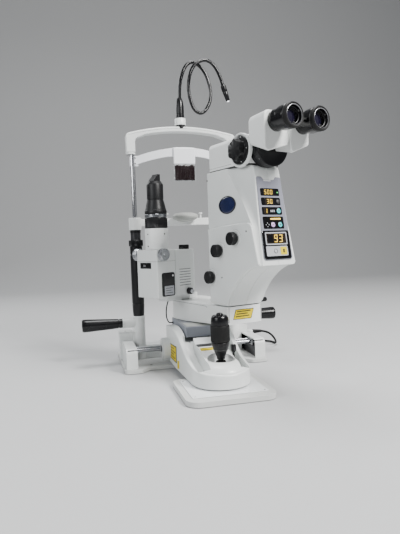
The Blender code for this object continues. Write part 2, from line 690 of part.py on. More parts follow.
def lift():
    rod("lift_column", STEEL, LIFT_RADIUS, 0.030, STAGE_BOTTOM - GAP, "Z", (PIVOT.x, LIFT_Y, 0))
    stage = box(
        "stage_block", GREY, (CARRIAGE_X - STAGE_HALF, -0.117, STAGE_BOTTOM),
        (CARRIAGE_X + STAGE_HALF, 0.050, STAGE_TOP), bevel=0.002,
    )
    join(stage, rod("pivot_post", None, PIVOT_RADIUS, STAGE_TOP - 0.005, 0.172, "Z", PIVOT))
    corner = CARRIAGE_X - STAGE_HALF
    route = smooth_route([Vector(p) for p in (
        (-0.024, 0.066, 0.1655), (-0.043, 0.067, 0.1580), (-0.053, 0.062, 0.1350), (-0.056, 0.052, 0.1120),
        (-0.053, 0.038, 0.0995), (corner - 0.003, 0.034, 0.0980), (corner - 3 * GAP, 0.034, 0.0980),
    )])
    tube("lamp_lead", RUBBER, route, 0.0016)


def joystick():
    pivot = empty("joystick_pivot", STICK)

    def ball(bm):
        bmesh.ops.create_uvsphere(bm, u_segments=20, v_segments=10, radius=0.0110)

    add("joystick_gimbal", mesh_from("joystick_gimbal", ball, True), BLACK, (0, 0, 0), pivot)
    turned("joystick_stem", BLACK, [
        (0.0, 0.0460), (0.0192, 0.0460), (0.0192, 0.0450), (0.0150, 0.0300), (0.0092, 0.0170),
        (0.0086, 0.0113), (0.0, 0.0113),
    ], (0, 0, 0), pivot)
    grip = turned("joystick_grip", RUBBER, [
        (0.0, 0.1010), (0.0110, 0.1010), (0.0150, 0.0980), (0.0178, 0.0900), (0.0184, 0.0800),
        (0.0196, 0.0795), (0.0196, 0.0490), (0.0185, 0.0463), (0.0, 0.0463),
    ], (0, 0, 0), pivot)
    cut(grip, rod("button_recess", None, 0.0073, 0.0958, 0.1100, "Z", (0, 0, 0), pivot, sides=16))
    rod("fire_button", BLACK, 0.0070, 0.0993, 0.1062, "Z", (0, 0, 0), pivot, sides=16)


# ---------------------------------------------------------------- laser arm and head
def laser_arm(arm):
    spans = 14
    back = [(ARM_HALF * cos(pi * i / spans), ARM_HALF * sin(pi * i / spans)) for i in range(spans + 1)]
    front = rounded([(-ARM_HALF, ARM_FRONT, 0.005), (ARM_HALF, ARM_FRONT, 0.005)] + [(0, 0.3, 0.0)])[:8]
    casing = slab("laser_arm", WHITE, back + front, ARM_BOTTOM, ARM_TOP, arm)
    slope = slab("arm_underside", None, [
        (-0.300, 0.1255), (-0.300, 0.090), (-0.040, 0.090), (-0.040, ARM_BOTTOM - 0.0005),
    ], -0.08, 0.08, arm, plane="YZ")
    bore = rod("arm_bore", None, PIVOT_RADIUS + GAP, 0.09, 0.18, "Z", (0, 0, 0), arm)
    cut(casing, slope, bore)


def head_front(z):
    """Where the head's front face and its two front corners are at a height: (y, half width)."""
    if z >= NOSE_Z:
        share = (z - NOSE_Z) / (PANEL_TOP_Z - NOSE_Z)
        return NOSE_Y + (PANEL_TOP_Y - NOSE_Y) * share, 0.041 - 0.010 * share
    share = (z - HEAD_BOTTOM) / (NOSE_Z - HEAD_BOTTOM)
    sweep = 1 - (1 - share**2) ** 0.5
    return -0.230 + (NOSE_Y + 0.230) * (0.35 * share + 0.65 * sweep), 0.041


def body_shell(side, name, arm):
    """Half of the laser head: a loft of half sections, open at the middle, with a wall."""
    levels = [HEAD_BOTTOM, 0.185, 0.208, 0.228, 0.242, NOSE_Z, 0.256, 0.340, PANEL_TOP_Z, 0.442, HEAD_TOP]
    rows = []
    middle = side * GAP / 2
    for z in levels:
        front, corner = head_front(min(z, PANEL_TOP_Z))
        if z > PANEL_TOP_Z:
            front += (z - PANEL_TOP_Z) * 0.55
        shoulder = max(front + 0.018, -0.250) if z > NOSE_Z + 0.05 else front + 0.010
        rows.append([
            (middle, HEAD_BACK, z), (side * (HEAD_HALF - 0.008), HEAD_BACK, z),
            (side * HEAD_HALF, HEAD_BACK - 0.008, z),
            (side * HEAD_HALF, shoulder, z), (side * corner, front, z), (middle, front, z),
        ])
    bm = bmesh.new()
    grid = [[bm.verts.new(p) for p in row] for row in rows]
    for lower, upper in zip(grid, grid[1:]):
        for i in range(len(lower) - 1):
            bm.faces.new((lower[i], lower[i + 1], upper[i + 1], upper[i]))
    bm.faces.new(grid[0])
    bm.faces.new(grid[-1])
    bmesh.ops.recalc_face_normals(bm, faces=bm.faces)
    probe = next(f for f in bm.faces if abs(f.normal.y) > 0.99 and f.calc_center_median().y > -0.16)
    if probe.normal.y < 0:
        bmesh.ops.reverse_faces(bm, faces=bm.faces)
    mesh = bpy.data.meshes.new(f"body_shell_{name}")
    bm.to_mesh(mesh)
    bm.free()
    shell = add(f"body_shell_{name}", mesh, WHITE, (0, 0, 0), arm)
    wall = shell.modifiers.new("Solidify", "SOLIDIFY")
    wall.thickness = SHELL_WALL
    wall.offset = -1.0
    wall.use_even_offset = True
    return shell


CLAMP_Y = -0.2215
CLAMP_Z = 0.1680
SIDE_KNOBS = (
    ("aiming_knob", -0.266, 0.3047, 0.0135, 0.018),
    ("energy_knob", -0.210, 0.2800, 0.0138, 0.019),
    ("focus_shift_knob", -0.178, 0.2225, 0.0138, 0.017),
)


def laser_head(arm):
    left = body_shell(-1, "left", arm)
    right = body_shell(1, "right", arm)
    cut(right, rod("clamp_bore", None, 0.0025, 0.030, 0.060, "X", (0, CLAMP_Y, CLAMP_Z), arm, sides=12))
    turned("head_clamp_knob", BLACK, [
        (0.0, 0.016), (0.0045, 0.016), (0.0050, 0.015), (0.0050, 0.0), (0.0022, 0.0), (0.0022, -0.009), (0.0, -0.009),
    ], (HEAD_HALF + GAP, CLAMP_Y, CLAMP_Z), arm, steps=16, turn=(0.0, pi / 2, 0.0))
    for name, y, z, radius, length in SIDE_KNOBS:
        bore = rod(f"{name}_bore", None, 0.0043, -0.060, -0.036, "X", (0, y, z), arm, sides=12)
        cut(left, bore)
        turned(name, BLACK, [
            (0.0, length), (radius - 0.001, length), (radius, length - 0.001), (radius - 0.0025, 0.0),
            (0.0040, 0.0), (0.0040, -0.009), (0.0, -0.009),
        ], (-HEAD_HALF - GAP - 0.0002, y, z), arm, steps=20, turn=(0.0, -pi / 2, 0.0))

    low_y, low_half = head_front(NOSE_Z + 0.010)
    high_y, high_half = head_front(PANEL_TOP_Z)
    tilt = Vector((high_y - low_y, PANEL_TOP_Z - NOSE_Z - 0.010))
    height = tilt.length
    notch = 0.006
    panel = slab("control_panel", PANEL_GREY, rounded([
        (-low_half + 0.006, 0.0, 0.006), (low_half - 0.006, 0.0, 0.006),
        (high_half - 0.004, height, 0.003), (high_half - 0.014, height, 0.0),
        (high_half - 0.019, height - notch, 0.0), (-high_half + 0.019, height - notch, 0.0),
        (-high_half + 0.014, height, 0.0), (-high_half + 0.004, height, 0.003),
    ]), 0.0, 0.0022, arm)
    panel.location = (0.0, low_y - GAP * 1.5, NOSE_Z + 0.010)
    panel.rotation_euler = (pi / 2 - Vector((0, 1)).angle_signed(tilt), 0.0, 0.0)

    housing = box(
        "top_housing", WHITE, (-0.043, -0.306, HEAD_TOP + 2 * GAP), (0.043, -0.160, 0.509), arm, bevel=0.007,
    )
    light_path = rod("light_path", None, 0.020, -0.320, -0.150, "Y", (0, 0, OPTIC_Z), arm)
    drum_bore = rod("drum_bore", None, 0.0063, -0.060, -0.030, "X", (0, -0.284, OPTIC_Z), arm, sides=16)
    cut(housing, light_path, drum_bore)
    turned("objective_lens", BLACK, [
        (0.0, 0.0125), (0.021, 0.0125), (0.0225, 0.0145), (0.0265, 0.0145), (0.0265, 0.0),
        (0.0195, 0.0), (0.0195, -0.010), (0.0, -0.010),
    ], (0.0, -0.160 + GAP, OPTIC_Z), arm, steps=28, turn=(-pi / 2, 0.0, 0.0))
    turned("magnification_knob", BLACK, [
        (0.0, 0.0170), (0.0235, 0.0170), (0.0255, 0.0155), (0.0265, 0.0060), (0.0280, 0.0040),
        (0.0280, 0.0), (0.0060, 0.0), (0.0060, -0.010), (0.0, -0.010),
    ], (-0.043 - GAP, -0.284, OPTIC_Z), arm, steps=32, turn=(0.0, -pi / 2, 0.0))


def binocular(arm):
    rod("binocular_base", BLACK, 0.0395, BASE_FRONT, -0.306 - GAP, "Y", (0, 0, BASE_Z), arm, sides=32)
    for side, name in ((-1, "left"), (1, "right")):
        tilt_axis = empty(f"prism_axis_{name}", (side * PRISM_AXIS_X, 0.0, PRISM_AXIS_Z), 0.0, arm)
        inner = side * (0.0015 - PRISM_AXIS_X)
        outer = side * ((0.0600 if side < 0 else 0.0500) - PRISM_AXIS_X)
        shape = rounded([
            (inner + side * 0.0030, -0.020, 0.0), (inner + side * 0.032, -0.024, 0.006), (outer, -0.004, 0.008),
            (outer, 0.052, 0.010), (inner + side * 0.0085, 0.052, 0.004), (inner, 0.0, 0.0),
        ])
        prism = slab(f"prism_housing_{name}", WHITE, shape, PRISM_FRONT, BASE_FRONT - 2 * GAP, tilt_axis, plane="XZ")
        soften(prism, 0.003, 2)
        reach = PRISM_FRONT + 0.430
        turned(f"eyepiece_{name}", BLACK, [
            (0.0, reach), (0.0205, reach), (0.0225, reach - 0.0015), (0.0225, reach - 0.027), (0.0200, reach - 0.028),
            (0.0200, 0.0), (0.0, 0.0),
        ], (side * (EYE_X - PRISM_AXIS_X), PRISM_FRONT - GAP, EYE_Z - PRISM_AXIS_Z), tilt_axis,
            steps=24, turn=(pi / 2, 0.0, 0.0))


# ---------------------------------------------------------------- illumination arm and tower
def illumination(arm):
    low, high = ARM_TOP + 0.0015, HOUSE_BOTTOM - 0.0005
    carrier = rod("illumination_arm", WHITE, 0.0165, low, high, "Z", (0, 0, 0), arm, sides=28)
    bar = box("illumination_bar", None, (-0.016, -0.098, low), (0.016, 0.0, high), arm)
    bore = rod("illumination_bore", None, PIVOT_RADIUS + GAP, 0.15, 0.18, "Z", (0, 0, 0), arm)
    join(carrier, bar)
    cut(carrier, bore)

    house = box(
        "lamp_house", WHITE, (-HOUSE_HALF, HOUSE_OUTER, HOUSE_BOTTOM), (HOUSE_HALF, HOUSE_INNER, HOUSE_TOP),
        arm, bevel=0.002,
    )
    inside = box(
        "house_inside", None, (-HOUSE_HALF + 0.003, HOUSE_OUTER + 0.003, HOUSE_BOTTOM - 0.01),
        (HOUSE_HALF - 0.003, HOUSE_INNER - 0.003, HOUSE_TOP - 0.003), arm,
    )
    shaft_bore = rod(
        "slit_shaft_bore", None, 0.0033, -0.06, 0.06, "X", (0, SLIT_KNOB_Y, SLIT_KNOB_Z), arm, sides=12,
    )
    dimmer_bore = rod("dimmer_bore", None, 0.0028, 0.030, 0.040, "X", (0, -0.045, 0.183), arm, sides=12)
    cut(house, inside, shaft_bore, dimmer_bore)

    grip = HOUSE_HALF + 2 * GAP
    wide = 0.0145
    half = grip + 0.0155
    turned("slit_width_knobs", STEEL, [
        (0.0, 2 * half), (wide - 0.001, 2 * half), (wide, 2 * half - 0.001), (wide, half + grip),
        (0.0030, half + grip), (0.0030, half - grip), (wide, half - grip), (wide, 0.001),
        (wide - 0.001, 0.0), (0.0, 0.0),
    ], (-half, SLIT_KNOB_Y, SLIT_KNOB_Z), arm, steps=24, turn=(0.0, pi / 2, 0.0))
    turned("dimmer_knob", BLACK, [
        (0.0, 0.014), (0.0075, 0.014), (0.0080, 0.013), (0.0080, 0.0), (0.0025, 0.0),
        (0.0025, -0.005), (0.0, -0.005),
    ], (HOUSE_HALF + GAP, -0.045, 0.183), arm, steps=16, turn=(0.0, pi / 2, 0.0))

    spigot = 0.0120
    ring_low = 0.3360
    head_low = 0.3612
    tube_low = HOUSE_TOP + GAP
    turned("illumination_tube", WHITE, [
        (0.0, head_low - GAP - tube_low), (spigot, head_low - GAP - tube_low), (spigot, ring_low - 0.0005 - tube_low),
        (0.0270, ring_low - 0.0005 - tube_low), (0.0275, ring_low - 0.0015 - tube_low), (0.0275, 0.0), (0.0, 0.0),
    ], (0.0, TOWER_Y, tube_low), arm, steps=32)
    depth = head_low - GAP - ring_low
    turned("filter_ring", BLACK, [
        (0.0255, depth), (0.0268, depth - 0.0015), (0.0268, 0.0015), (0.0255, 0.0), (spigot + GAP, 0.0),
        (spigot + GAP, depth),
    ], (0.0, TOWER_Y, ring_low), arm, steps=32, closed=True)
    turned("illumination_head", BLACK, [
        (0.0, 0.0850), (0.0150, 0.0850), (0.0196, 0.0790), (0.0196, 0.0400), (0.0260, 0.0100),
        (0.0260, 0.0), (0.0, 0.0),
    ], (0.0, TOWER_Y, head_low), arm, steps=28)
    base = head_low + 0.0850 + GAP
    slab("mirror_head", BLACK, [
        (-0.0125, 0.0), (0.0100, 0.0), (0.0100, 0.0165), (0.0020, 0.0165),
    ], -0.009, 0.009, arm, at=(0, 0, 0), plane="YZ").location = (0.0, TOWER_Y, base)


# ---------------------------------------------------------------- cable to the control box
def cable():
    tube("cable_run", RUBBER, smooth_route([Vector(p) for p in CABLE_ROUTE], 4), CABLE_RADIUS)
    turned("cable_coil", RUBBER, [
        (COIL_OUTER - 0.002, COIL_HEIGHT), (COIL_OUTER, COIL_HEIGHT - 0.002), (COIL_OUTER, 0.002),
        (COIL_OUTER - 0.002, 0.0), (COIL_INNER + 0.002, 0.0), (COIL_INNER, 0.002),
        (COIL_INNER, COIL_HEIGHT - 0.002), (COIL_INNER + 0.002, COIL_HEIGHT),
    ], COIL_CENTRE, steps=32, closed=True)
    turned("cable_plug", BLACK, [
        (0.0, 0.040), (0.0058, 0.040), (0.0058, 0.028), (0.0070, 0.027), (0.0070, 0.012),
        (0.0040, 0.0), (0.0, 0.0),
    ], (COIL_CENTRE.x + 0.0225, COIL_CENTRE.y + 0.0450, 0.0073), steps=16, turn=(0.0, pi / 2, 0.0))


base_plate()
rail(-1, "left", -0.1755, -0.1448)
rail(1, "right", 0.1448, 0.1640)
headrest_foot()
for direction, label in ((-1, "left"), (1, "right")):
    headrest_side(direction, label)
height_knob()
headrest_arch()
forehead_band()
chin_rest()
fixation_lamp()
cross_slide()
carriage()
lift()
joystick()
laser_swing = empty("laser_arm_swing", PIVOT, LASER_SWING)
laser_arm(laser_swing)
laser_head(laser_swing)
binocular(laser_swing)
lamp_swing = empty("illumination_swing", PIVOT, LAMP_SWING)
illumination(lamp_swing)
cable()
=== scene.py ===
"""Looks of the laser slit lamp: its finishes, fine shapes, cord, studio and camera."""

from math import cos, pi, radians, sin

import bmesh
import bpy
from mathutils import Matrix, Vector


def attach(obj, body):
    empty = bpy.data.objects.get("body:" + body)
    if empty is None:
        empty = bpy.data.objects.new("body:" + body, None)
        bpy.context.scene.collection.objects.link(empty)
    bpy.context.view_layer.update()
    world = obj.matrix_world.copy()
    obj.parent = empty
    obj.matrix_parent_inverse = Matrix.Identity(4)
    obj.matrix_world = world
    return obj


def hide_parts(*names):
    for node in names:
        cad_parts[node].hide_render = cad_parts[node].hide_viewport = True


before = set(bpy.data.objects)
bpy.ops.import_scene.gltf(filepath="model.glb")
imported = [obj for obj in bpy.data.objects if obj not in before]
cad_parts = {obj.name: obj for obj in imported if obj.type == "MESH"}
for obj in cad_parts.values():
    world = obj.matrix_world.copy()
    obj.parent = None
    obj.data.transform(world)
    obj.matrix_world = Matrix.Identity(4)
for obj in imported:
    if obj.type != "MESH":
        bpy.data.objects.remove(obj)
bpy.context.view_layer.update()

MM = 0.001


def mm(*values):
    return Vector(values) * MM


# ---------------------------------------------------------------- camera
CAMERA_AT = mm(-268.86, -1195.60, 300.0)
CAMERA_YAW, CAMERA_PITCH, CAMERA_ROLL = radians(-13.78), radians(2.89), radians(1.97)


def camera():
    """The camera stands where the photographer stood."""
    lens = bpy.data.cameras.new("camera")
    lens.lens = 33.29
    lens.sensor_width = 36.0
    lens.clip_start, lens.clip_end = 0.05, 30.0
    made = bpy.data.objects.new("camera", lens)
    ahead = Vector((
        -sin(CAMERA_YAW) * cos(CAMERA_PITCH), cos(CAMERA_YAW) * cos(CAMERA_PITCH), -sin(CAMERA_PITCH),
    ))
    level = Vector((cos(CAMERA_YAW), sin(CAMERA_YAW), 0.0))
    upright = level.cross(ahead)
    right = level * cos(CAMERA_ROLL) - upright * sin(CAMERA_ROLL)
    up = level * sin(CAMERA_ROLL) + upright * cos(CAMERA_ROLL)
    made.matrix_world = Matrix.Translation(CAMERA_AT) @ Matrix((right, up, -ahead)).transposed().to_4x4()
    bpy.context.scene.collection.objects.link(made)
    bpy.context.scene.camera = made


camera()


# ---------------------------------------------------------------- finishes
COAT_ROUGHNESS = 0.08
RELIEF_DEPTH = 0.0004
DUST_COLOUR = (0.52, 0.50, 0.47)
MIX_LOW, MIX_HIGH = 6, 7  # the colour sockets of a Mix node


def add_node(tree, kind, **settings):
    """A new node. A setting is a socket to link, the value of an input or one of the node's own options."""
    made = tree.nodes.new(kind)
    for key, value in settings.items():
        key = key.replace("_", " ") if key.replace("_", " ") in made.inputs else key
        if isinstance(value, bpy.types.NodeSocket):
            tree.links.new(value, made.inputs[key])
        elif key in made.inputs:
            made.inputs[key].default_value = value
        else:
            setattr(made, key, value)
    return made


def mix_colours(tree, factor, low, high, source=None):
    """Low to high by a factor, where source feeds the low side if it is given."""
    mix = add_node(tree, "ShaderNodeMix", data_type="RGBA")
    mix.inputs[MIX_LOW].default_value = (*low, 1.0)
    mix.inputs[MIX_HIGH].default_value = (*high, 1.0)
    if source is not None:
        tree.links.new(source, mix.inputs[MIX_LOW])
    tree.links.new(factor, mix.inputs[0])
    return mix.outputs[2]


def finish(name, colour, rough, metal=0.0, mottle=0.05, grain=900.0, bump=0.08, stretch=(1, 1, 1), dust=0.0,
           coat=0.0, wear_and_edge_highlight=0.0, see_through=0.0, glow=None, shine=0.5):
    """A surface from nodes: uneven colour, uneven gloss, a fine grain and, where asked, dust and lighter convex
    edges, which are partly paint wear and partly a painted edge highlight.
    """
    made = bpy.data.materials.new(name)
    made.use_nodes = True
    tree = made.node_tree
    shader = tree.nodes["Principled BSDF"]
    place = add_node(tree, "ShaderNodeTexCoord").outputs["Object"]
    spread = add_node(tree, "ShaderNodeMapping", Scale=stretch, Vector=place)
    cloud = add_node(tree, "ShaderNodeTexNoise", Scale=14.0, Detail=4.0, Vector=place).outputs["Fac"]
    grains = add_node(tree, "ShaderNodeTexNoise", Scale=grain, Detail=2.0, Vector=spread.outputs["Vector"])
    fine = grains.outputs["Fac"]
    darker = tuple(c * (1 - mottle) for c in colour)
    lighter = tuple(min(c * (1 + mottle * 0.6), 1.0) for c in colour)
    shade = mix_colours(tree, cloud, darker, lighter)
    if wear_and_edge_highlight:
        # Convex edges are lightened: partly paint wear, partly a painted edge highlight.
        edge = add_node(tree, "ShaderNodeNewGeometry").outputs["Pointiness"]
        band = add_node(tree, "ShaderNodeMapRange", From_Min=0.54, From_Max=0.62, To_Max=wear_and_edge_highlight, Value=edge)
        rubbed_and_highlit = tuple(min(c * 1.25 + 0.05, 0.95) for c in colour)
        shade = mix_colours(tree, band.outputs["Result"], colour, rubbed_and_highlit, shade)
    if dust:
        facing = add_node(tree, "ShaderNodeNewGeometry").outputs["Normal"]
        upward = add_node(tree, "ShaderNodeSeparateXYZ", Vector=facing).outputs["Z"]
        lying = add_node(tree, "ShaderNodeMapRange", From_Min=0.6, To_Max=dust, Value=upward)
        patch = add_node(tree, "ShaderNodeMath", operation="MULTIPLY")
        tree.links.new(lying.outputs["Result"], patch.inputs[0])
        tree.links.new(fine, patch.inputs[1])
        shade = mix_colours(tree, patch.outputs["Value"], colour, DUST_COLOUR, shade)
    tree.links.new(shade, shader.inputs["Base Color"])
    gloss = add_node(tree, "ShaderNodeMapRange", From_Min=0.3, From_Max=0.7, To_Min=max(rough - 0.07, 0.02),
                     To_Max=min(rough + 0.08, 1.0), Value=cloud)
    tree.links.new(gloss.outputs["Result"], shader.inputs["Roughness"])
    relief = add_node(tree, "ShaderNodeBump", Strength=bump, Distance=RELIEF_DEPTH, Height=fine)
    tree.links.new(relief.outputs["Normal"], shader.inputs["Normal"])
    for socket, value in (
        ("Metallic", metal), ("Specular IOR Level", shine), ("Coat Weight", coat),
        ("Coat Roughness", COAT_ROUGHNESS), ("Transmission Weight", see_through),
    ):
        shader.inputs[socket].default_value = value
    if glow:
        shader.inputs["Emission Color"].default_value = (*colour, 1.0)
        shader.inputs["Emission Strength"].default_value = glow
    return made


COVER = finish("cover_white", (0.70, 0.72, 0.71), 0.38, grain=1500, bump=0.10, coat=0.12, wear_and_edge_highlight=0.25)
CAST = finish("cast_white_paint", (0.74, 0.755, 0.745), 0.42, grain=700, bump=0.22, coat=0.08, wear_and_edge_highlight=0.25)
PLATE = finish("plate_white_paint", (0.56, 0.57, 0.56), 0.40, grain=600, bump=0.20, dust=0.06, wear_and_edge_highlight=0.2)
SHEET = finish("slide_sheet_white", (0.80, 0.82, 0.83), 0.24, grain=300, bump=0.05, stretch=(1, 0.1, 1), coat=0.3)
GREY = finish("stage_grey_paint", (0.21, 0.225, 0.26), 0.50, grain=500, bump=0.22, dust=0.18, wear_and_edge_highlight=0.35)
PALE = finish("pale_grey_plastic", (0.38, 0.39, 0.37), 0.45, bump=0.10)
BLACK = finish("black_plastic", (0.004, 0.004, 0.005), 0.30, mottle=0.3, grain=1400, shine=0.32)
GLOSS = finish("black_gloss", (0.003, 0.003, 0.004), 0.14, mottle=0.3, grain=300, bump=0.02, coat=0.25, shine=0.35)
ANODISED = finish("black_anodised", (0.006, 0.006, 0.007), 0.42, mottle=0.25, bump=0.10, shine=0.30)
RUBBER = finish("black_rubber", (0.005, 0.005, 0.005), 0.50, mottle=0.35, grain=1100, bump=0.18, shine=0.25)
CHROME = finish("chrome", (0.80, 0.80, 0.82), 0.12, 1.0, mottle=0.03, grain=200, bump=0.02)
STEEL = finish("turned_steel", (0.52, 0.53, 0.55), 0.30, 1.0, mottle=0.08, grain=400, bump=0.20, stretch=(8, 1, 1))
SILVER = finish("satin_aluminium", (0.40, 0.41, 0.43), 0.24, 1.0, mottle=0.06, grain=700)
RACK = finish("dark_rack_steel", (0.045, 0.045, 0.05), 0.38, 0.7, mottle=0.2, grain=600, bump=0.15)
FOIL = finish("keypad_foil", (0.20, 0.205, 0.25), 0.42, grain=1600)
WINDOW = finish("display_window", (0.004, 0.004, 0.005), 0.16, mottle=0.2, grain=200, bump=0.01, shine=0.35)
SMOKE = finish("display_smoke", (0.016, 0.012, 0.009), 0.22, mottle=0.1, grain=300, bump=0.02, shine=0.35)
KEYS = finish("key_foil", (0.40, 0.41, 0.44), 0.38, mottle=0.04)
AMBER = finish("amber_digits", (0.95, 0.62, 0.08), 0.4, bump=0.02, glow=0.6)
GREEN = finish("green_lamp", (0.10, 0.55, 0.12), 0.3, bump=0.02, glow=0.4)
CYAN = finish("cyan_key", (0.07, 0.58, 0.62), 0.35, bump=0.05)
PINK = finish("pink_key", (0.62, 0.38, 0.72), 0.35, bump=0.05)
YELLOW = finish("yellow_label", (0.68, 0.52, 0.0), 0.45, mottle=0.02, bump=0.05, shine=0.2)
INK = finish("printed_black", (0.02, 0.02, 0.02), 0.5, mottle=0.2, bump=0.03)
PRINT = finish("printed_white", (0.80, 0.80, 0.80), 0.5, bump=0.03)
BLUE = finish("blue_dome", (0.002, 0.008, 0.055), 0.12, mottle=0.5, grain=200, bump=0.01, coat=0.5)
LENS = finish("coated_glass", (0.010, 0.008, 0.022), 0.04, mottle=0.4, grain=120, bump=0.0, coat=1.0)
MIRROR = finish("silvered_mirror", (0.86, 0.87, 0.88), 0.05, 1.0, mottle=0.02, grain=120, bump=0.0)
LED = finish("lamp_led", (0.95, 0.97, 1.0), 0.2, mottle=0.02, bump=0.0, glow=4.0)
VINYL = finish("white_vinyl", (0.82, 0.83, 0.86), 0.42, grain=420, bump=0.25, stretch=(1, 1, 0.4))
CLEAR = finish("clear_sleeve", (0.86, 0.88, 0.90), 0.10, mottle=0.02, grain=90, bump=0.25, see_through=0.75)
CARD = finish("dark_card", (0.010, 0.004, 0.005), 0.20, mottle=0.8, grain=120, bump=0.30, coat=0.2)
STUD = finish("screw_steel", (0.30, 0.30, 0.31), 0.30, 0.9, mottle=0.1, bump=0.10)


def two_tone(name, below, above, height):
    """One finish under a height and another over it, for a node that is moulded in two colours."""
    made = above.copy()
    made.name = name
    tree = made.node_tree
    base_colour = tree.nodes["Principled BSDF"].inputs["Base Color"]
    source = base_colour.links[0].from_socket
    place = add_node(tree, "ShaderNodeTexCoord").outputs["Object"]
    split = add_node(tree, "ShaderNodeSeparateXYZ", Vector=place)
    over = add_node(tree, "ShaderNodeMath", operation="GREATER_THAN")
    over.inputs[1].default_value = height * MM
    tree.links.new(split.outputs["Z"], over.inputs[0])
    mix = add_node(tree, "ShaderNodeMix", data_type="RGBA")
    mix.inputs[MIX_LOW].default_value = (*below, 1.0)
    tree.links.new(over.outputs["Value"], mix.inputs[0])
    tree.links.new(source, mix.inputs[MIX_HIGH])
    tree.links.new(mix.outputs[2], base_colour)
    return made


CHIN_TWO_TONE = two_tone("chin_bar_two_tone", (0.014, 0.014, 0.017), CAST, 335.9)


# ---------------------------------------------------------------- frames of the swinging arms
PIVOT = mm(5, 28, 0)
WORLD = Matrix.Identity(4)
LASER = Matrix.Translation(PIVOT) @ Matrix.Rotation(radians(18.1), 4, "Z")
LAMP = Matrix.Translation(PIVOT) @ Matrix.Rotation(radians(-56.5), 4, "Z")
STICK = Matrix.Translation(mm(3.6, -237, 50))
AIM = {
    "+X": Matrix.Rotation(pi / 2, 4, "Y"), "-X": Matrix.Rotation(-pi / 2, 4, "Y"),
    "+Y": Matrix.Rotation(-pi / 2, 4, "X"), "-Y": Matrix.Rotation(pi / 2, 4, "X"), "+Z": WORLD,
}
SIDES = ((-1, "left", "-X"), (1, "right", "+X"))
LASER_BODIES = ("laser_head", "head_clamp", "aiming_control", "energy_control", "focus_control", "magnifier_drum")
LAMP_BODIES = ("illumination", "slit_control", "dimmer_control", "filter_control")
STICK_BODIES = ("stick_gimbal", "stick", "stick_grip", "trigger")
BODY_FRAME = {
    **dict.fromkeys(LASER_BODIES, LASER), **dict.fromkeys(LAMP_BODIES, LAMP), **dict.fromkeys(STICK_BODIES, STICK),
    "fixation_lamp": Matrix.Translation(mm(0, 60, 617.3)),
}
for which, hand, _ in SIDES:
    BODY_FRAME[f"prism_{hand}"] = BODY_FRAME[f"ocular_{hand}"] = LASER @ Matrix.Translation(mm(which * 15, 0, 484))


# ---------------------------------------------------------------- shape helpers, in millimetres
def place(name, data, coat, body, at=(0, 0, 0), aim="+Z", frame_of=None):
    """An object with its finish, riding a body and placed in that body's frame unless another is given."""
    made = bpy.data.objects.new(name, data)
    data.materials.append(coat)
    turn = AIM[aim] if isinstance(aim, str) else aim
    made.matrix_world = (frame_of or BODY_FRAME.get(body, WORLD)) @ Matrix.Translation(mm(*at)) @ turn
    bpy.context.scene.collection.objects.link(made)
    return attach(made, body)


def soften(made, width, segments=3, angle=32):
    """Rounded edges where faces meet at more than an angle."""
    bevel = made.modifiers.new("Bevel", "BEVEL")
    bevel.width = width * MM
    bevel.segments = segments
    bevel.limit_method = "ANGLE"
    bevel.angle_limit = radians(angle)
    bevel.use_clamp_overlap = True
    return made


def mesh_of(name, bm, smooth=32):
    """The finished mesh, smooth except over edges sharper than an angle."""
    bmesh.ops.recalc_face_normals(bm, faces=bm.faces)
    mesh = bpy.data.meshes.new(name)
    bm.to_mesh(mesh)
    bm.free()
    mesh.shade_smooth()
    mesh.set_sharp_from_angle(angle=radians(smooth))
    return mesh


def skin(bm, rows, around=True, capped=True):
    """Quads between neighbouring rows of vertices. Around joins the ends of each row, and capped closes both ends."""
    for lower, upper in zip(rows, rows[1:]):
        for k in range(len(lower) if around else len(lower) - 1):
            on = (k + 1) % len(lower)
            bm.faces.new((lower[k], lower[on], upper[on], upper[k]))
    if capped:
        bm.faces.new(rows[0])
        bm.faces.new(rows[-1])


def lathe(
    name, coat, body, profile, at=(0, 0, 0), aim="+Z", steps=64, ripple=None, ease=0.0, squeeze=1.0, frame_of=None,
):
    """(radius, height) pairs turned about an axis. Ripple is the count, depth, low and high end of its ribs."""
    bm = bmesh.new()
    rings = []
    for radius, height in profile:
        if radius <= 0.0:
            rings.append([bm.verts.new(mm(0, 0, height))])
            continue
        ring = []
        for k in range(steps):
            angle = 2 * pi * k / steps
            reach = radius
            if ripple and ripple[2] <= height <= ripple[3]:
                reach -= ripple[1] * (0.5 - 0.5 * cos(ripple[0] * angle))
            ring.append(bm.verts.new(mm(reach * cos(angle), squeeze * reach * sin(angle), height)))
        rings.append(ring)
    for lower, upper in zip(rings, rings[1:]):
        for k in range(steps):
            on = k + 1
            loop = (lower[k % len(lower)], lower[on % len(lower)], upper[on % len(upper)], upper[k % len(upper)])
            bm.faces.new(list(dict.fromkeys(loop)))
    made = place(name, mesh_of(name, bm), coat, body, at, aim, frame_of)
    return soften(made, ease, 2) if ease else made


def fillet(corners, steps=5):
    """An outline from (x, y, radius) corners, each fillet an arc."""
    points = []
    for i, (x, y, radius) in enumerate(corners):
        here = Vector((x, y))
        if radius <= 0.0:
            points.append(here)
            continue
        back = (Vector(corners[i - 1][:2]) - here).normalized()
        on = (Vector(corners[(i + 1) % len(corners)][:2]) - here).normalized()
        half = back.angle(on) / 2
        centre = here + (back + on).normalized() * (radius / sin(half))
        first = here + back * (radius * cos(half) / sin(half)) - centre
        last = here + on * (radius * cos(half) / sin(half)) - centre
        sweep = first.angle_signed(last)
        points += [centre + Matrix.Rotation(-sweep * k / steps, 2) @ first for k in range(steps + 1)]
    return points


def rounded(left, low, right, high, radius, steps=5):
    """A rectangle with four equal fillets."""
    return fillet([(left, low, radius), (right, low, radius), (right, high, radius), (left, high, radius)], steps)


SPREAD = {"XY": (0, 1, 2), "YZ": (1, 2, 0), "XZ": (0, 2, 1)}


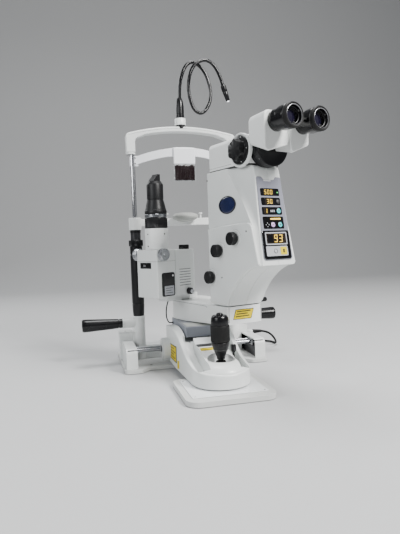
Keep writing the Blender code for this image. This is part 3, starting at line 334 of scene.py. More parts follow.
def plate(name, coat, body, outline, low, high, plane="XY", ease=0.0, segments=3, far=None, frame_of=None):
    """A flat outline given thickness between two levels, square to its plane. Far is the outline at the upper one."""
    a, b, c = SPREAD[plane]
    bm = bmesh.new()
    loops = []
    for level, ring in zip(sorted((low, high)), (outline, far or outline)):
        loop = []
        for point in ring:
            spot = [0.0, 0.0, 0.0]
            spot[a], spot[b], spot[c] = point[0], point[1], level
            loop.append(bm.verts.new(mm(*spot)))
        loops.append(loop)
        bm.faces.new(loop)
    for k in range(len(outline)):
        on = (k + 1) % len(outline)
        bm.faces.new((loops[0][k], loops[0][on], loops[1][on], loops[1][k]))
    made = place(name, mesh_of(name, bm), coat, body, frame_of=frame_of)
    return soften(made, ease, segments) if ease else made


def block(name, coat, body, low, high, ease=0.5):
    """A box between two corners, with eased edges."""
    return plate(name, coat, body, rounded(*low[:2], *high[:2], 0), low[2], high[2], ease=ease)


def smooth_route(points, per_span=6):
    """Points of a Catmull-Rom curve through the given ones."""
    ends = [points[0] * 2 - points[1], *points, points[-1] * 2 - points[-2]]
    route = []
    for i in range(1, len(ends) - 2):
        a, b, c, d = ends[i - 1 : i + 3]
        for k in range(per_span):
            t = k / per_span
            route.append(
                (b * 2 + (c - a) * t + (a * 2 - b * 5 + c * 4 - d) * t**2 + (b * 3 - a - c * 3 + d) * t**3) / 2
            )
    route.append(points[-1])
    return route


def wire(name, coat, body, points, radius, cyclic=False, sides=3):
    """A round wire along points in metres."""
    curve = bpy.data.curves.new(name, "CURVE")
    curve.dimensions = "3D"
    curve.bevel_depth = radius * MM
    curve.bevel_resolution = sides
    curve.use_fill_caps = True
    spline = curve.splines.new("POLY")
    spline.points.add(len(points) - 1)
    for target, point in zip(spline.points, points):
        target.co = (*point, 1.0)
    spline.use_cyclic_u = cyclic
    spline.use_smooth = True
    return place(name, curve, coat, body)


def ribbed_tube(name, coat, body, route, radius, pitch, depth):
    """A corrugated tube along a smooth route in metres: rings about the curve, every other one a little smaller."""
    bm = bmesh.new()
    side = Vector((0, 1, 0))
    rings = []
    walked, steps = 0.0, 14
    fine = smooth_route(route, 4)
    for i, centre in enumerate(fine):
        ahead = (fine[min(i + 1, len(fine) - 1)] - fine[max(i - 1, 0)]).normalized()
        side = (side - ahead * side.dot(ahead)).normalized()
        other = ahead.cross(side)
        if i:
            walked += (centre - fine[i - 1]).length
        reach = (radius - depth * (0.5 - 0.5 * cos(2 * pi * walked / (pitch * MM)))) * MM
        rings.append([
            bm.verts.new(centre + (side * cos(2 * pi * k / steps) + other * sin(2 * pi * k / steps)) * reach)
            for k in range(steps)
        ])
    skin(bm, rings)
    return place(name, mesh_of(name, bm, 60), coat, body)


def screws(name, body, spots, radius, aim="+Z", coat=STUD):
    """Small domed socket screws, each a turned head with a hollow in it."""
    for i, spot in enumerate(spots):
        lathe(f"{name}_{i + 1}", coat, body, (
            (0, 0.1), (radius * 0.45, 0.1), (radius * 0.5, 0.7), (radius * 0.85, 0.6), (radius, 0.2),
            (radius, -0.4), (0, -0.4),
        ), spot, aim, steps=20)


def keep(coats, ease=0.0, angle=38):
    """CAD nodes that stay as they are, with their finish and eased edges."""
    for node, coat in coats.items():
        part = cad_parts[node]
        part.data.materials.clear()
        part.data.materials.append(coat)
        for polygon in part.data.polygons:
            polygon.use_smooth = True
            polygon.material_index = 0
        weld = part.modifiers.new("Weld", "WELD")
        weld.merge_threshold = 0.00002
        if ease:
            soften(part, ease, 2, angle)
        part.modifiers.new("Normals", "WEIGHTED_NORMAL")


# ---------------------------------------------------------------- cord to the power supply
CORD_RADIUS = 3
CORD_EXIT = (186.3, 84, 49)
ON_FLOOR = 3.2
CORD_ROUTE = (
    CORD_EXIT, (205, 84.5, 48.8), (222, 87, 46.5), (240, 92, 39), (255, 100, 26), (266, 111, 12),
    (271, 126, ON_FLOOR), (266, 148, ON_FLOOR), (245, 169, ON_FLOOR), (212, 184, ON_FLOOR), (172, 196, ON_FLOOR),
    (132, 208, ON_FLOOR), (110, 212.5, ON_FLOOR), (93, 213, ON_FLOOR),
)
COIL_AT = (68, 252)
COIL_TURNS = 5.5
COIL_OUTER, COIL_STEP = 39, 6.1
LAYER_RISE = 6.1
PLUG_AT = (90.5, 297, 7.3)
LEAD_RADIUS = 1.6
LEAD_ROUTE = (
    (-24, 66, 165.5), (-43, 67, 158), (-53, 62, 135), (-56, 52, 112), (-53, 38, 99.5), (-45.5, 34, 98),
    (-43.4, 34, 98),
)


def ramp(value, start, end):
    """0 before start, 1 after end and a smooth step between."""
    t = min(max((value - start) / (end - start), 0), 1)
    return t * t * (3 - 2 * t)


def coil_points():
    """Three turns inwards on the floor and the rest outwards on top of them, a cord's width apart."""
    points = []
    per_turn = 28
    for i in range(1, int(COIL_TURNS * per_turn) + 1):
        turn = i / per_turn
        inward = ramp(turn, 0.75, 0.95) + ramp(turn, 1.75, 1.95)
        outward = ramp(turn, 3.3, 3.5) + ramp(turn, 4.3, 4.5)
        radius = COIL_OUTER - COIL_STEP * (inward - outward)
        angle = -pi / 2 - 2 * pi * turn
        height = ON_FLOOR + LAYER_RISE * ramp(turn, 2.5, 2.72)
        points.append(mm(COIL_AT[0] + radius * cos(angle), COIL_AT[1] + radius * sin(angle), height))
    return points


def cord():
    """The power cord from the right rail cover to the coil behind the base, with its plug."""
    lead_in = smooth_route([mm(*p) for p in CORD_ROUTE], 5)
    tail = [mm(76, 291.6, 9.2), mm(83, 293.8, 8.3), mm(*PLUG_AT)]
    points = lead_in + [mm(80, 213, ON_FLOOR), mm(COIL_AT[0], 213, ON_FLOOR)] + coil_points() + tail
    flex = wire("power_cord", RUBBER, "base", points, CORD_RADIUS, sides=4)
    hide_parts("cable_run", "cable_coil")
    ribs = [(3.3, 0), (6.2, 0)]
    for k in range(9):
        wide = 6.2 - 0.27 * k
        ribs += [(wide - less, along + 3 * k) for less, along in ((0, 1), (0, 2.4), (0.9, 2.6), (1, 3.8))]
    ribs += [(3.15, 28.6)]
    aside = mm(*CORD_ROUTE[1]) - mm(*CORD_EXIT)
    relief = lathe(
        "cord_strain_relief", RUBBER, "base", ribs, CORD_EXIT,
        Vector((0, 0, 1)).rotation_difference(aside).to_matrix().to_4x4(), steps=28,
    )
    plug = lathe("cord_plug", BLACK, "base", (
        (3.1, 0), (4.2, 0.4), (6.6, 9), (7, 12), (7, 26.5), (6.2, 27), (6.2, 28), (5.8, 28.3), (5.8, 39.5),
        (5.3, 40), (4.7, 40), (4.6, 33), (0, 33),
    ), PLUG_AT, "+X", 32, ripple=(18, 0.4, 11, 27))
    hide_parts("cable_plug")
    x, y, z = PLUG_AT
    pins = [
        lathe(f"cord_plug_pin_{k + 1}", STEEL, "base", ((0, 39), (0.7, 38.6), (0.7, 33), (0, 33)),
              (x, y + 2.3 * cos(2 * pi * k / 4), z + 2.3 * sin(2 * pi * k / 4)), "+X", 10)
        for k in range(4)
    ]
    x, y = COIL_AT[0] + 33, COIL_AT[1]
    tie_loop = [mm(p[0], y, p[1]) for p in rounded(x - 9.6, 0.7, x + 9.6, 12.6, 2.5)]
    tie = wire("cord_tie", GLOSS, "base", tie_loop, 0.3, cyclic=True)


def lamp_lead():
    """The short lead from under the lamp box to the side of the stage block."""
    points = smooth_route([mm(*p) for p in LEAD_ROUTE], 8)
    lead = wire("lamp_supply_lead", RUBBER, "lift", points, LEAD_RADIUS)
    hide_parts("lamp_lead")
    grommet = lathe("lamp_lead_grommet", BLACK, "lift", ((3.4, 0), (3.2, 1.2), (1.7, 1.6), (1.7, 0)),
                    (-42.6, 34, 98), "-X", 24)


cord()
lamp_lead()


# ---------------------------------------------------------------- base, rails and carriage
def base():
    """The plate, the rails with their racks, and the other castings that stay still."""
    keep({"base_plate": PLATE, "headrest_foot": CAST}, ease=1.2)
    keep({"rail_cover_left": COVER, "rail_cover_right": COVER}, ease=0.9)
    keep({"slide_sheet": SHEET}, ease=0.3)
    keep({"gear_rack_left": RACK, "gear_rack_right": RACK, "axle_carrier": STEEL, "axle": SILVER,
          "carriage_chassis": STEEL, "lift_column": STEEL})
    for side, name, _ in SIDES:
        wall = side * 167.4
        # Thin black gloss sheets on the wall, roof and back inside each rail cover are painted shade in the cover's
        # hollow.
        back = plate(f"rail_shade_wall_{name}", GLOSS, "base", fillet([
            (-49.6, 8.8, 0), (62.6, 8.8, 0), (62.6, 52.6, 0), (-49.6, 52.6, 8),
        ]), wall, wall - side * 0.4, "YZ")
        low_x, high_x = sorted((side * 145.6, wall))
        block(f"rail_shade_roof_{name}", GLOSS, "base", (low_x, -42, 52.3), (high_x, 62.6, 52.8), 0)
        block(f"rail_shade_back_{name}", GLOSS, "base", (low_x, 62.3, 9), (high_x, 62.8, 52.6), 0)
        for k in range(24):
            y = -47 + 4.1 * k
            tooth = ((y, 34.6), (y + 2.6, 34.6), (y + 1.9, 35.2), (y + 0.7, 35.2))
            plate(f"rack_tooth_{name}_{k + 1}", RACK, "base", tooth, side * 155.5, side * 165.5, "YZ")
    screws("sheet_pin", "base", [(x, y, 11.2) for x in (-69, 69) for y in (-309, -198)], 1.8)
    screws("rail_screw", "base", [(x, 85, 76) for x in (-160, 154)], 2.6)
    screws("plate_screw", "base", [(x, y, 8) for x in (-110, 110) for y in (-20, 130)], 3.2)
    ring = lathe("cord_port_ring", COVER, "base", (
        (6.5, 0), (7.2, 0.4), (7.2, 4.6), (6.5, 5), (3.2, 5), (3.2, 0),
    ), (180.6, 84, 49), "+X", 36)


LOCK_SCREW_AT = (44.5, -192, 0)


def carriage():
    """The moulded shell with its labels, lock screw and hubs."""
    keep({"carriage_shell": COVER}, ease=1.1)
    label = fillet([(-4, 24, 1.5), (-106, 27, 1.5), (-108, 66, 1.5), (-4, 58, 1.5)])
    inner_label = [((y + 56) * 0.93 - 56, (z - 44) * 0.86 + 44) for y, z in label]
    plate("side_label_frame", INK, "carriage", label, -64.25, -63.6, "YZ")
    plate("side_label", YELLOW, "carriage", inner_label, -64.4, -63.6, "YZ")
    small = fillet([(-113, 18, 1), (-128, 20, 1), (-130, 38, 1), (-116, 36, 1)])
    plate("side_label_small", YELLOW, "carriage", small, -64.15, -60.4, "YZ")
    for k in range(4):
        near, far, end = 31.5 + 6.2 * k, 34 + 6.8 * k, -96 + 16 * (k % 2)
        rule = [(-14, near), (end, far), (end, far + 2.4), (-14, near + 2.4)]
        plate(f"side_label_rule_{k + 1}", INK, "carriage", rule, -64.55, -64.3, "YZ")
    block("console_slot_bezel", BLACK, "carriage", (-28, -168, 74.2), (8, -139, 76), 0.8)
    block("console_slot", INK, "carriage", (-26, -165.5, 75.4), (6, -141.5, 76.3), 0.3)
    block("console_strip", YELLOW, "carriage", (-26, -192, 70.5), (6, -168.6, 73.3), 0.3)
    plate("console_strip_rule", INK, "carriage", rounded(-21, 72.2, 1, 73.5, 0), -182, -179, "XZ")
    lock = lathe("lock_screw_head", BLACK, "lock_screw", (
        (0, 79), (3.4, 79), (6.2, 78), (6.8, 75.5), (6.8, 66.5), (5.4, 63.6), (2.8, 60.5), (2.8, 36), (0, 36),
    ), LOCK_SCREW_AT, steps=60, ripple=(3, 2, 60, 78.5))
    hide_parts("lock_knob")
    lathe("lock_screw_cap", STUD, "lock_screw", ((0, 79.5), (1.7, 79.4), (2, 78.9), (0, 78.9)),
          LOCK_SCREW_AT, steps=20)
    for side, name, out in SIDES:
        hub = (2 + side * 84, -15, 44)
        lathe(f"hub_ring_{name}", CAST, "carriage", (
            (25.2, 0), (23.4, 0.5), (12.2, 0.5), (11.6, -0.2), (5.4, -0.2), (5.4, -1.2), (25.2, -1.2),
        ), hub, out, 56)
        lathe(f"hub_wiper_{name}", RUBBER, "carriage", (
            (8.6, 0.8), (7, 1.3), (5.5, 0.9), (5.5, -0.6), (9.2, -0.6),
        ), hub, out, 36)
    rim, centre, beads = 28.6, (3.6, -237), 56
    wire("bowl_bead", PALE, "carriage", [
        mm(centre[0] + rim * cos(2 * pi * k / beads), centre[1] + rim * sin(2 * pi * k / beads), 59.6)
        for k in range(beads)
    ], 0.7, cyclic=True)
    screws("deck_screw", "carriage", [(-35, -120, 76.6), (39, -120, 76.6)], 2.2)


def lift():
    """The grey stage block on its bellows."""
    keep({"stage_block": GREY}, ease=0.8)
    lathe("lift_bellows", RUBBER, "lift", [
        (22.5 if k % 2 else 19.2, 81.5 + 0.8 * k) for k in range(6)
    ], (5, -75, 0), steps=48)
    block("stage_cover", PALE, "lift", (-38, -112, 109.6), (42, -62, 110.9), ease=0.5)
    screws("stage_screw", "lift", [(x, y, 110) for x in (-36, 40) for y in (-52, 40)], 2.6)
    screws("stage_side_screw", "lift", [(-42.5, y, 98) for y in (-96, -20)], 2.6, "-X")


def joystick():
    """From the boot up: neck, cone, sleeve, cap and fire key."""
    boot = lathe("joystick_boot", RUBBER, "stick_gimbal", [
        (13.5, -4), (11.9, -2.5), (13, -1), (11.2, 0.4), (12.2, 1.6), (10.6, 3), (11.4, 4.2), (9.9, 5.6),
        (10.4, 6.8), (9.4, 7.6),
    ], steps=44)
    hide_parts("joystick_gimbal")
    lathe("joystick_neck", RUBBER, "stick", ((5.6, 2), (5.2, 5), (5.6, 8), (6.4, 11.4)), steps=40)
    stem = lathe("joystick_cone", BLACK, "stick", (
        (0, 11.3), (8.4, 11.3), (8.7, 12.2), (8.7, 15.6), (9, 16.2), (9.4, 17), (12.2, 24.2), (15.2, 31.6),
        (17.4, 38.4), (18.7, 43.8), (18.9, 46), (0, 46),
    ), ease=0.5)
    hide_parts("joystick_stem")
    lathe("joystick_cone_band", GLOSS, "stick", (
        (14.4, 29.4), (15, 29.6), (15.9, 32), (15.4, 32.2),
    ))
    grip = lathe("joystick_sleeve", RUBBER, "stick_grip", (
        (0, 46.4), (17.9, 46.4), (19.1, 47.4), (19.6, 49.4), (19.6, 50), (19.6, 78), (19.6, 78.6), (19.1, 80.1),
        (18.2, 80.6), (0, 80.6),
    ), steps=168, ripple=(42, 0.55, 49.8, 78.2))
    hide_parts("joystick_grip")
    lathe("joystick_cap", BLACK, "stick_grip", (
        (17.6, 80.2), (18.3, 81.2), (18.5, 86), (18.2, 91), (17.4, 95.4), (16.2, 98.6), (14.6, 100.4),
        (10.4, 101), (7.4, 101), (7.4, 94), (0, 94),
    ), ease=0.25)
    button = lathe("fire_key", BLACK, "trigger", (
        (0, 106.1), (3.4, 105.6), (6, 104.6), (6.9, 103.4), (7, 102.4), (7, 99.4), (0, 99.4),
    ), steps=48)
    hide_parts("fire_button")


# ---------------------------------------------------------------- headrest
ARCH_HALF_SPAN, ARCH_CROWN_Z, ARCH_SAG = 141.5, 595, 19
BAND_HALF_SPAN, BAND_BOW, BAND_Z = 119, 30, 509


def crown(x):
    """The height of the arch's upper edge."""
    return ARCH_CROWN_Z - ARCH_SAG * (x / ARCH_HALF_SPAN) ** 2


def head_arch():
    """The casting that joins the columns, its seam, and the nut that holds the fixation lamp."""
    over = [(x, crown(x)) for x in range(-135, 136, 9)]
    under = [(x, crown(x) - 13) for x in range(90, -91, -9)]
    knee = [(119, 557), (117.4, 562), (112.8, 565.6), (105.6, 568.4)]
    shoulder_in = [(-ARCH_HALF_SPAN, 529), (-ARCH_HALF_SPAN, 570.4), (-139.6, 575.2)]
    arch = plate("arch_casting", COVER, "base", [
        *shoulder_in, *over, *[(-x, z) for x, z in reversed(shoulder_in)], (119, 529), *knee, *under,
        *[(-x, z) for x, z in reversed(knee)], (-119, 529),
    ], 48, 72, "XZ", ease=2.4)
    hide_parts("headrest_arch")
    lathe("arch_nut", COVER, "base", (
        (0, 599.6), (13.2, 599.6), (14, 600.4), (14, 615.4), (13.4, 616.6), (12, 616.9), (0, 616.9),
    ), (0, 60, 0), steps=96, ripple=(24, 0.5, 603, 613))
    lathe("arch_nut_washer", BLACK, "base", ((0, 590), (12.9, 590), (12.9, 599.7), (0, 599.7)), (0, 60, 0),
          steps=48, ease=0.3)
    wire("arch_seam", INK, "base", [mm(x, 47.98, crown(x) - 5.3) for x in range(-134, 135, 6)], 0.22)


def columns():
    """The two columns, each with its hand grip, sleeve and rings, and the wheel that sets the chin-rest height."""
    keep({"chin_bar": CHIN_TWO_TONE, "column_rod_left": CHROME, "column_rod_right": CHROME}, ease=0.5)
    for side, name, out in SIDES:
        column = (side * 126, 60, 0)
        start = -168.3 if side < 0 else 142.8
        grip = lathe(f"hand_grip_{name}", BLACK, "base", (
            (0, 0), (10.4, 0), (11.4, 0.8), (11.6, 3), (11.6, 7), (10.8, 8), (10.8, 9.6), (11.8, 10.6),
            (12.9, 28), (14.1, 50), (15.2, 72), (15.9, 86), (16, 90), (16, 95.4), (15.2, 98.4), (13, 99.8),
            (0, 99.8),
        ), (start, 60, 101), out, 72)
        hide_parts(f"handle_grip_{name}")
        lathe(f"hand_grip_end_{name}", GLOSS, "base", ((0, 0.4), (5.6, 0.3), (6.2, -0.3), (0, -0.3)),
              (start + side * 99.8, 60, 101), out, 36)
        lathe(f"boss_collar_{name}", CAST, "base", ((12.6, -3), (14, -2.4), (14, 0), (12.6, 0)),
              (start - side * 0.4, 60, 101), out, 48)
        top = 294.4 if side < 0 else 310.8
        sleeve = lathe(f"column_cover_{name}", BLACK, "base", (
            (9.8, 118.4), (13.9, 118.4), (14.6, 126), (15.4, 144), (15.5, 148), (14.9, 148.6), (14.9, 150.4),
            (15.5, 151), (15.5, top - 22), (14.9, top - 21.4), (14.9, top - 19.6), (15.5, top - 19),
            (15.5, top - 0.6), (15, top), (13.6, top), (13.5, 140), (9.8, 138),
        ), column, ripple=(30, 0.35, 151, top - 190) if side > 0 else None)
        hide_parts(f"column_sleeve_{name}")
        lathe(f"socket_ring_{name}", CAST, "base", (
            (15, 112), (15.8, 112.6), (15.8, 117.2), (15, 118.2), (14, 118.2), (14, 112),
        ), column)
        lathe(f"bracket_cap_{name}", CAST, "chin_rest", (
            (15.9, 364.6), (14.6, 366.2), (7.2, 366.6), (6.4, 366.4), (6.4, 364.8),
        ), column)
        lathe(f"riser_collar_{name}", BLACK, "chin_rest", (
            (12.7, 328), (13.3, 328.3), (13.4, 335.2), (12.7, 335.8),
        ), column)
        lathe(f"arch_boss_{name}", COVER, "base", (
            (11, 524.6), (11.8, 525.2), (12, 529), (6.1, 529), (6.1, 524.6),
        ), (side * 130.2, 60, 0))
        screws(f"band_screw_{name}", "base", [(side * 120, 56.6, z) for z in (502, 516)], 2, "-Y")
    knob = lathe("height_wheel", BLACK, "height_control", (
        (13.6, 294.8), (16.8, 294.8), (17.8, 295.8), (17.8, 296.4), (17.8, 309.2), (17.8, 309.8), (16.8, 310.8),
        (13.6, 310.8),
    ), (-126, 60, 0), steps=216, ripple=(54, 0.6, 296.2, 309.4))
    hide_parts("height_knob")


def forehead_band():
    """The band across the arch and the soft wrap round its middle."""
    keep({"forehead_band": VINYL}, ease=0.9)
    strip, spans = bmesh.new(), 20
    rows = []
    for k in range(spans + 1):
        x = -28.5 + 57 * k / spans
        bow = 1 - (x / BAND_HALF_SPAN) ** 2
        y, z = 60 - BAND_BOW * bow, BAND_Z + ARCH_SAG * bow
        rows.append([strip.verts.new(mm(x, y + dy, z + dz)) for dy, dz in (
            (3.5, -10.6), (-3.5, -10.6), (-3.5, 10.6), (3.5, 10.6),
        )])
    skin(strip, rows)
    soften(place("band_wrap", mesh_of("band_wrap", strip), VINYL, "base"), 0.8, 2)


def card():
    """A clear sleeve that hangs from the band, with a dark card in its lower half."""
    front, waves = 25.6, 18
    for name, coat, low, high, x_half, depth, bow in (
        ("sleeve_clear", CLEAR, 454.2, 498, 27.4, 0.5, 0.5), ("sleeve_card", CARD, 456, 494, 25.6, 0.3, 0.5),
        ("sleeve_header", VINYL, 497, 536.8, 27.4, 1.5, 0),
    ):
        bm = bmesh.new()
        sheet = []
        for i in range(waves + 1):
            z = low + (high - low) * i / waves
            row = []
            for k in range(waves + 1):
                x = -x_half + 2 * x_half * k / waves
                ripple = bow * sin(x * 0.16 + z * 0.05) * (1 - (z - 454) / 90)
                inside = name == "sleeve_card"
                top = 1.6 * sin(x * 0.35 + 1) if inside and i == waves else 0
                crease = 0.6 + 0.5 * sin(x * 0.55 + z * 0.4) * sin(z * 0.5 - x * 0.2) if inside else 0
                row.append(bm.verts.new(mm(x, front + ripple - crease, z + top)))
            sheet.append(row)
        skin(bm, sheet, around=False, capped=False)
        made = place(name, mesh_of(name, bm, 60), coat, "base")
        thick = made.modifiers.new("Thickness", "SOLIDIFY")
        thick.thickness = depth * MM
        thick.offset = 0
        if name == "sleeve_clear":
            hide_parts("card_sleeve")


def chin_cup():
    """The oval dish and the two pins for its paper."""
    outer, inner = [], []
    for k in range(15):
        z = -11.9 + 21.6 * k / 14
        outer.append((33.5 * (1 - (z / 12) ** 2) ** 0.5, 366 + z))
    brim, dip = outer[-1][0] - 1.2, 3.4
    for k in range(6):
        inner.append((brim * cos(pi / 2 * k / 6), outer[-1][1] - dip * sin(pi / 2 * k / 6)))
    cup = lathe("chin_dish", PALE, "chin_rest", [(0, 354.1), *outer, *inner, (0, outer[-1][1] - dip)],
                (0, 40, 0), squeeze=0.776)
    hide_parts("chin_cup")
    for side, name, _ in SIDES:
        lathe(f"paper_pin_cap_{name}", COVER, "chin_rest", (
            (0, 377), (3.6, 376.9), (5.1, 376.2), (5.2, 373.6), (4.4, 373), (0, 373),
        ), (side * 45, 60, 0), steps=36)


def fixation_lamp():
    """A corrugated stalk that loops over the arch and ends in a small lamp."""
    boot = lathe("stalk_boot", BLACK, "fixation_lamp", (
        (0, 0), (10.2, 0), (10.3, 1), (10.3, 9), (9.6, 9.6), (9.6, 11), (10.3, 11.6), (10.3, 29), (9.6, 36),
        (8.6, 44), (7.4, 47), (7, 47.6), (5.9, 51), (0, 51),
    ), ripple=(20, 0.5, 12, 30), steps=80, ease=0.2)
    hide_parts("lamp_stalk")
    route = smooth_route([mm(*p) for p in (
        (0, 0, 46), (2, 0, 82), (9, 0, 112), (20, 0, 134), (35, 0, 144), (52, 0, 138), (69, -1, 119),
        (79, -3, 91), (82, -5, 65), (77, -7, 40), (65, -9, 20), (51, -10, 13), (36, -12, 21), (26, -13, 44),
        (21.5, -14, 72), (24.5, -15, 100), (34, -15, 125), (51, -15, 141), (71, -15, 145), (90, -14, 134),
        (105, -12, 110), (114, -10, 86),
    )], 8)
    ribbed_tube("stalk_gooseneck", GLOSS, "fixation_lamp", route, 4.5, 2.6, 0.30)
    along = (route[-1] - route[-2]).normalized()
    turn = Vector((0, 0, 1)).rotation_difference(along).to_matrix().to_4x4()
    tip = route[-1] / MM
    head = lathe("lamp_capsule", BLACK, "fixation_lamp", (
        (0, -0.2), (4.6, -0.2), (6.4, 1.4), (7, 4.5), (7, 14), (6.7, 17), (6.3, 17.6), (6.3, 18.8),
        (6.6, 19.4), (5.9, 30), (5.2, 38), (4.8, 40.6), (4.1, 41.6), (3.3, 41.6), (3.1, 40.8), (0, 40.8),
    ), tuple(tip), turn, steps=40)
    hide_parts("lamp_head")
    lathe("lamp_led_dome", LED, "fixation_lamp", ((3.1, 40.9), (2.8, 42.2), (1.7, 43.1), (0, 43.4)),
          tuple(tip), turn, 24)


# ---------------------------------------------------------------- laser arm and head
NOSE_Y, NOSE_Z = -341, 250
FACE_TOP_Y, FACE_TOP_Z = -314, 424
HEAD_LOW, HEAD_HIGH = 162.6, 448.9
FOOT_HALF, FACE_NARROWING = 41, 8
BROW_Z, BROW_RADIUS = 437, 12
SIDE_X, PANEL_PROUD = 45.4, 3
SHOULDERS = ((250, -336.5), (324, -320), (336, -313), (364, -297), (402, -272), (436, -244),
             (449, -236))


def head_front(z):
    """(y, half width) of the head's front face at a height."""
    lean = (FACE_TOP_Y - NOSE_Y) / (FACE_TOP_Z - NOSE_Z)
    if z >= NOSE_Z:
        up = z - NOSE_Z
        over = min(max(z - BROW_Z, 0), BROW_RADIUS)
        brow = BROW_RADIUS - (BROW_RADIUS**2 - over**2) ** 0.5
        return NOSE_Y + lean * up + brow, FOOT_HALF - FACE_NARROWING * up / (FACE_TOP_Z - NOSE_Z)
    share = (z - HEAD_LOW) / (NOSE_Z - HEAD_LOW)
    return -230 + (NOSE_Y + 230) * (0.35 * share + 0.65 * (1 - (1 - share**2) ** 0.5)), FOOT_HALF


def shoulder(z):
    """Where the flat side ends and turns in towards the front face."""
    if z <= NOSE_Z:
        return head_front(z)[0] + 4.5
    for (z0, y0), (z1, y1) in zip(SHOULDERS, SHOULDERS[1:]):
        if z <= z1:
            return y0 + (y1 - y0) * (z - z0) / (z1 - z0)
    return SHOULDERS[-1][1]


def head_section(side, z):
    """Half of the head cut level, as a closed outline."""
    front, corner = head_front(z)
    back = -158.2 - 7.5 * (1 - ramp(z, 321, 333))
    edge = shoulder(z)
    points = [(0.15, back)]
    points += [
        (SIDE_X - 7 + 7 * sin(pi / 2 * k / 4), back - 7 + 7 * cos(pi / 2 * k / 4)) for k in range(5)
    ]
    turn_in = (corner + 1.6, edge - 0.18 * (edge - front))
    finish_at = (corner, front + 2.2)
    for k in range(9):
        t = k / 8
        points.append(tuple(
            (1 - t) ** 2 * a + 2 * t * (1 - t) * b + t**2 * c
            for a, b, c in zip((SIDE_X, edge), turn_in, finish_at)
        ))
    points += [(corner - 0.7, front + 0.6), (corner - 2.4, front), (corner * 0.5, front), (0.15, front)]
    return [(side * x, y) for x, y in points]


def head_half(side, name):
    """One half of the laser head's cover and the raised panel on its side."""
    spans = ((HEAD_LOW, NOSE_Z, 26), (NOSE_Z, 320, 6), (320, 336, 6), (336, FACE_TOP_Z, 12),
             (FACE_TOP_Z, HEAD_HIGH, 10))
    levels = [low + (high - low) * k / n for low, high, n in spans for k in range(n)] + [HEAD_HIGH]
    bm = bmesh.new()
    rows = [[bm.verts.new(mm(x, y, z)) for x, y in head_section(side, z)] for z in levels]
    skin(bm, rows)
    shell = place(f"head_cover_{name}", mesh_of(f"head_cover_{name}", bm, 26), COVER, "laser_head")
    soften(shell, 0.7, 2, 40)
    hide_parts(f"body_shell_{name}")
    low, high = sorted((side * (SIDE_X - 4), side * (SIDE_X + PANEL_PROUD)))
    front_edge = [(head_front(z)[0] + 3.2, z) for z in [166 + 4.2 * k for k in range(20)]]
    raised = [
        (-164.2, 166), (-164.2, 314), (-163.2, 321), (-160.4, 326.5), (-200, 331), (-240, 333.5), (-270, 335),
        (-296, 335.8), (-306, 335.2), (-313, 332.6), (-317.6, 327.4), (-320, 321), (-337.2, 252),
    ]
    plate(f"head_side_panel_{name}", COVER, "laser_head", raised + front_edge[::-1], low, high, "YZ", 2.8,
          segments=5)


def laser_arm():
    """The arm under the laser head, with its label, seams and clamp wheel."""
    keep({"laser_arm": CAST}, ease=1.4)
    y_front = -227.15
    for name, coat, rim, proud in (("arm_label_frame", INK, 0, 0.2), ("arm_label", YELLOW, 1.4, 0.35)):
        outline = [(-32.7 + rim, 132 + rim), (16 - rim, 131 + rim), (23.2 - rim, 152.6 - rim),
                   (-25.6 + rim, 153.6 - rim)]
        plate(name, coat, "laser_head", outline, y_front - proud, y_front + 0.4, "XZ")
    for k in range(3):
        left, z = -26 + 2 * k, 137 + 5.2 * k
        rule = rounded(left, z, left + 36 - 6 * (k % 2), z + 2.2, 0)
        plate(f"arm_label_rule_{k + 1}", INK, "laser_head", rule, y_front - 0.5, y_front - 0.3, "XZ")
    for side, name, out in SIDES:
        seam = [(y, 155.5) for y in range(8, -141, -8)] + [(-144, 154.8), (-147.5, 153)]
        wire(f"arm_groove_{name}", INK, "laser_head", [mm(side * 47.05, y, z) for y, z in seam], 0.35)
        wire(f"arm_front_seam_{name}", INK, "laser_head", [
            mm(side * 42.6, y_front, 126.5), mm(side * 42.6, y_front, 159.4),
        ], 0.28)
        screws(f"arm_screw_{name}", "laser_head", [(side * 47, -206, 141)], 1.9, out)
    lathe("arm_pivot_cap", CAST, "laser_head", (
        (18.4, 0), (18.4, 0.6), (17.6, 1.2), (10.6, 1.2), (10.6, 0),
    ), (0, 0, 159.9))
    clamp = lathe("clamp_wheel", BLACK, "head_clamp", (
        (0, 16), (4.2, 16), (5, 15.2), (5, 3.4), (4.2, 2.8), (4.2, 0.2), (2.2, 0), (0, 0),
    ), (46.5, -221.5, 168), "+X", 80, ripple=(16, 0.5, 3.3, 15.3))
    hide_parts("head_clamp_knob")


SIDE_KNOBS = (
    ("aiming", -266, 304.7, 13.5, 18, "aiming_control", "aiming_knob"),
    ("energy", -210, 280, 13.8, 19, "energy_control", "energy_knob"),
    ("focus", -178, 222.5, 13.8, 17, "focus_control", "focus_shift_knob"),
)
BADGE_STRETCH = 1.65


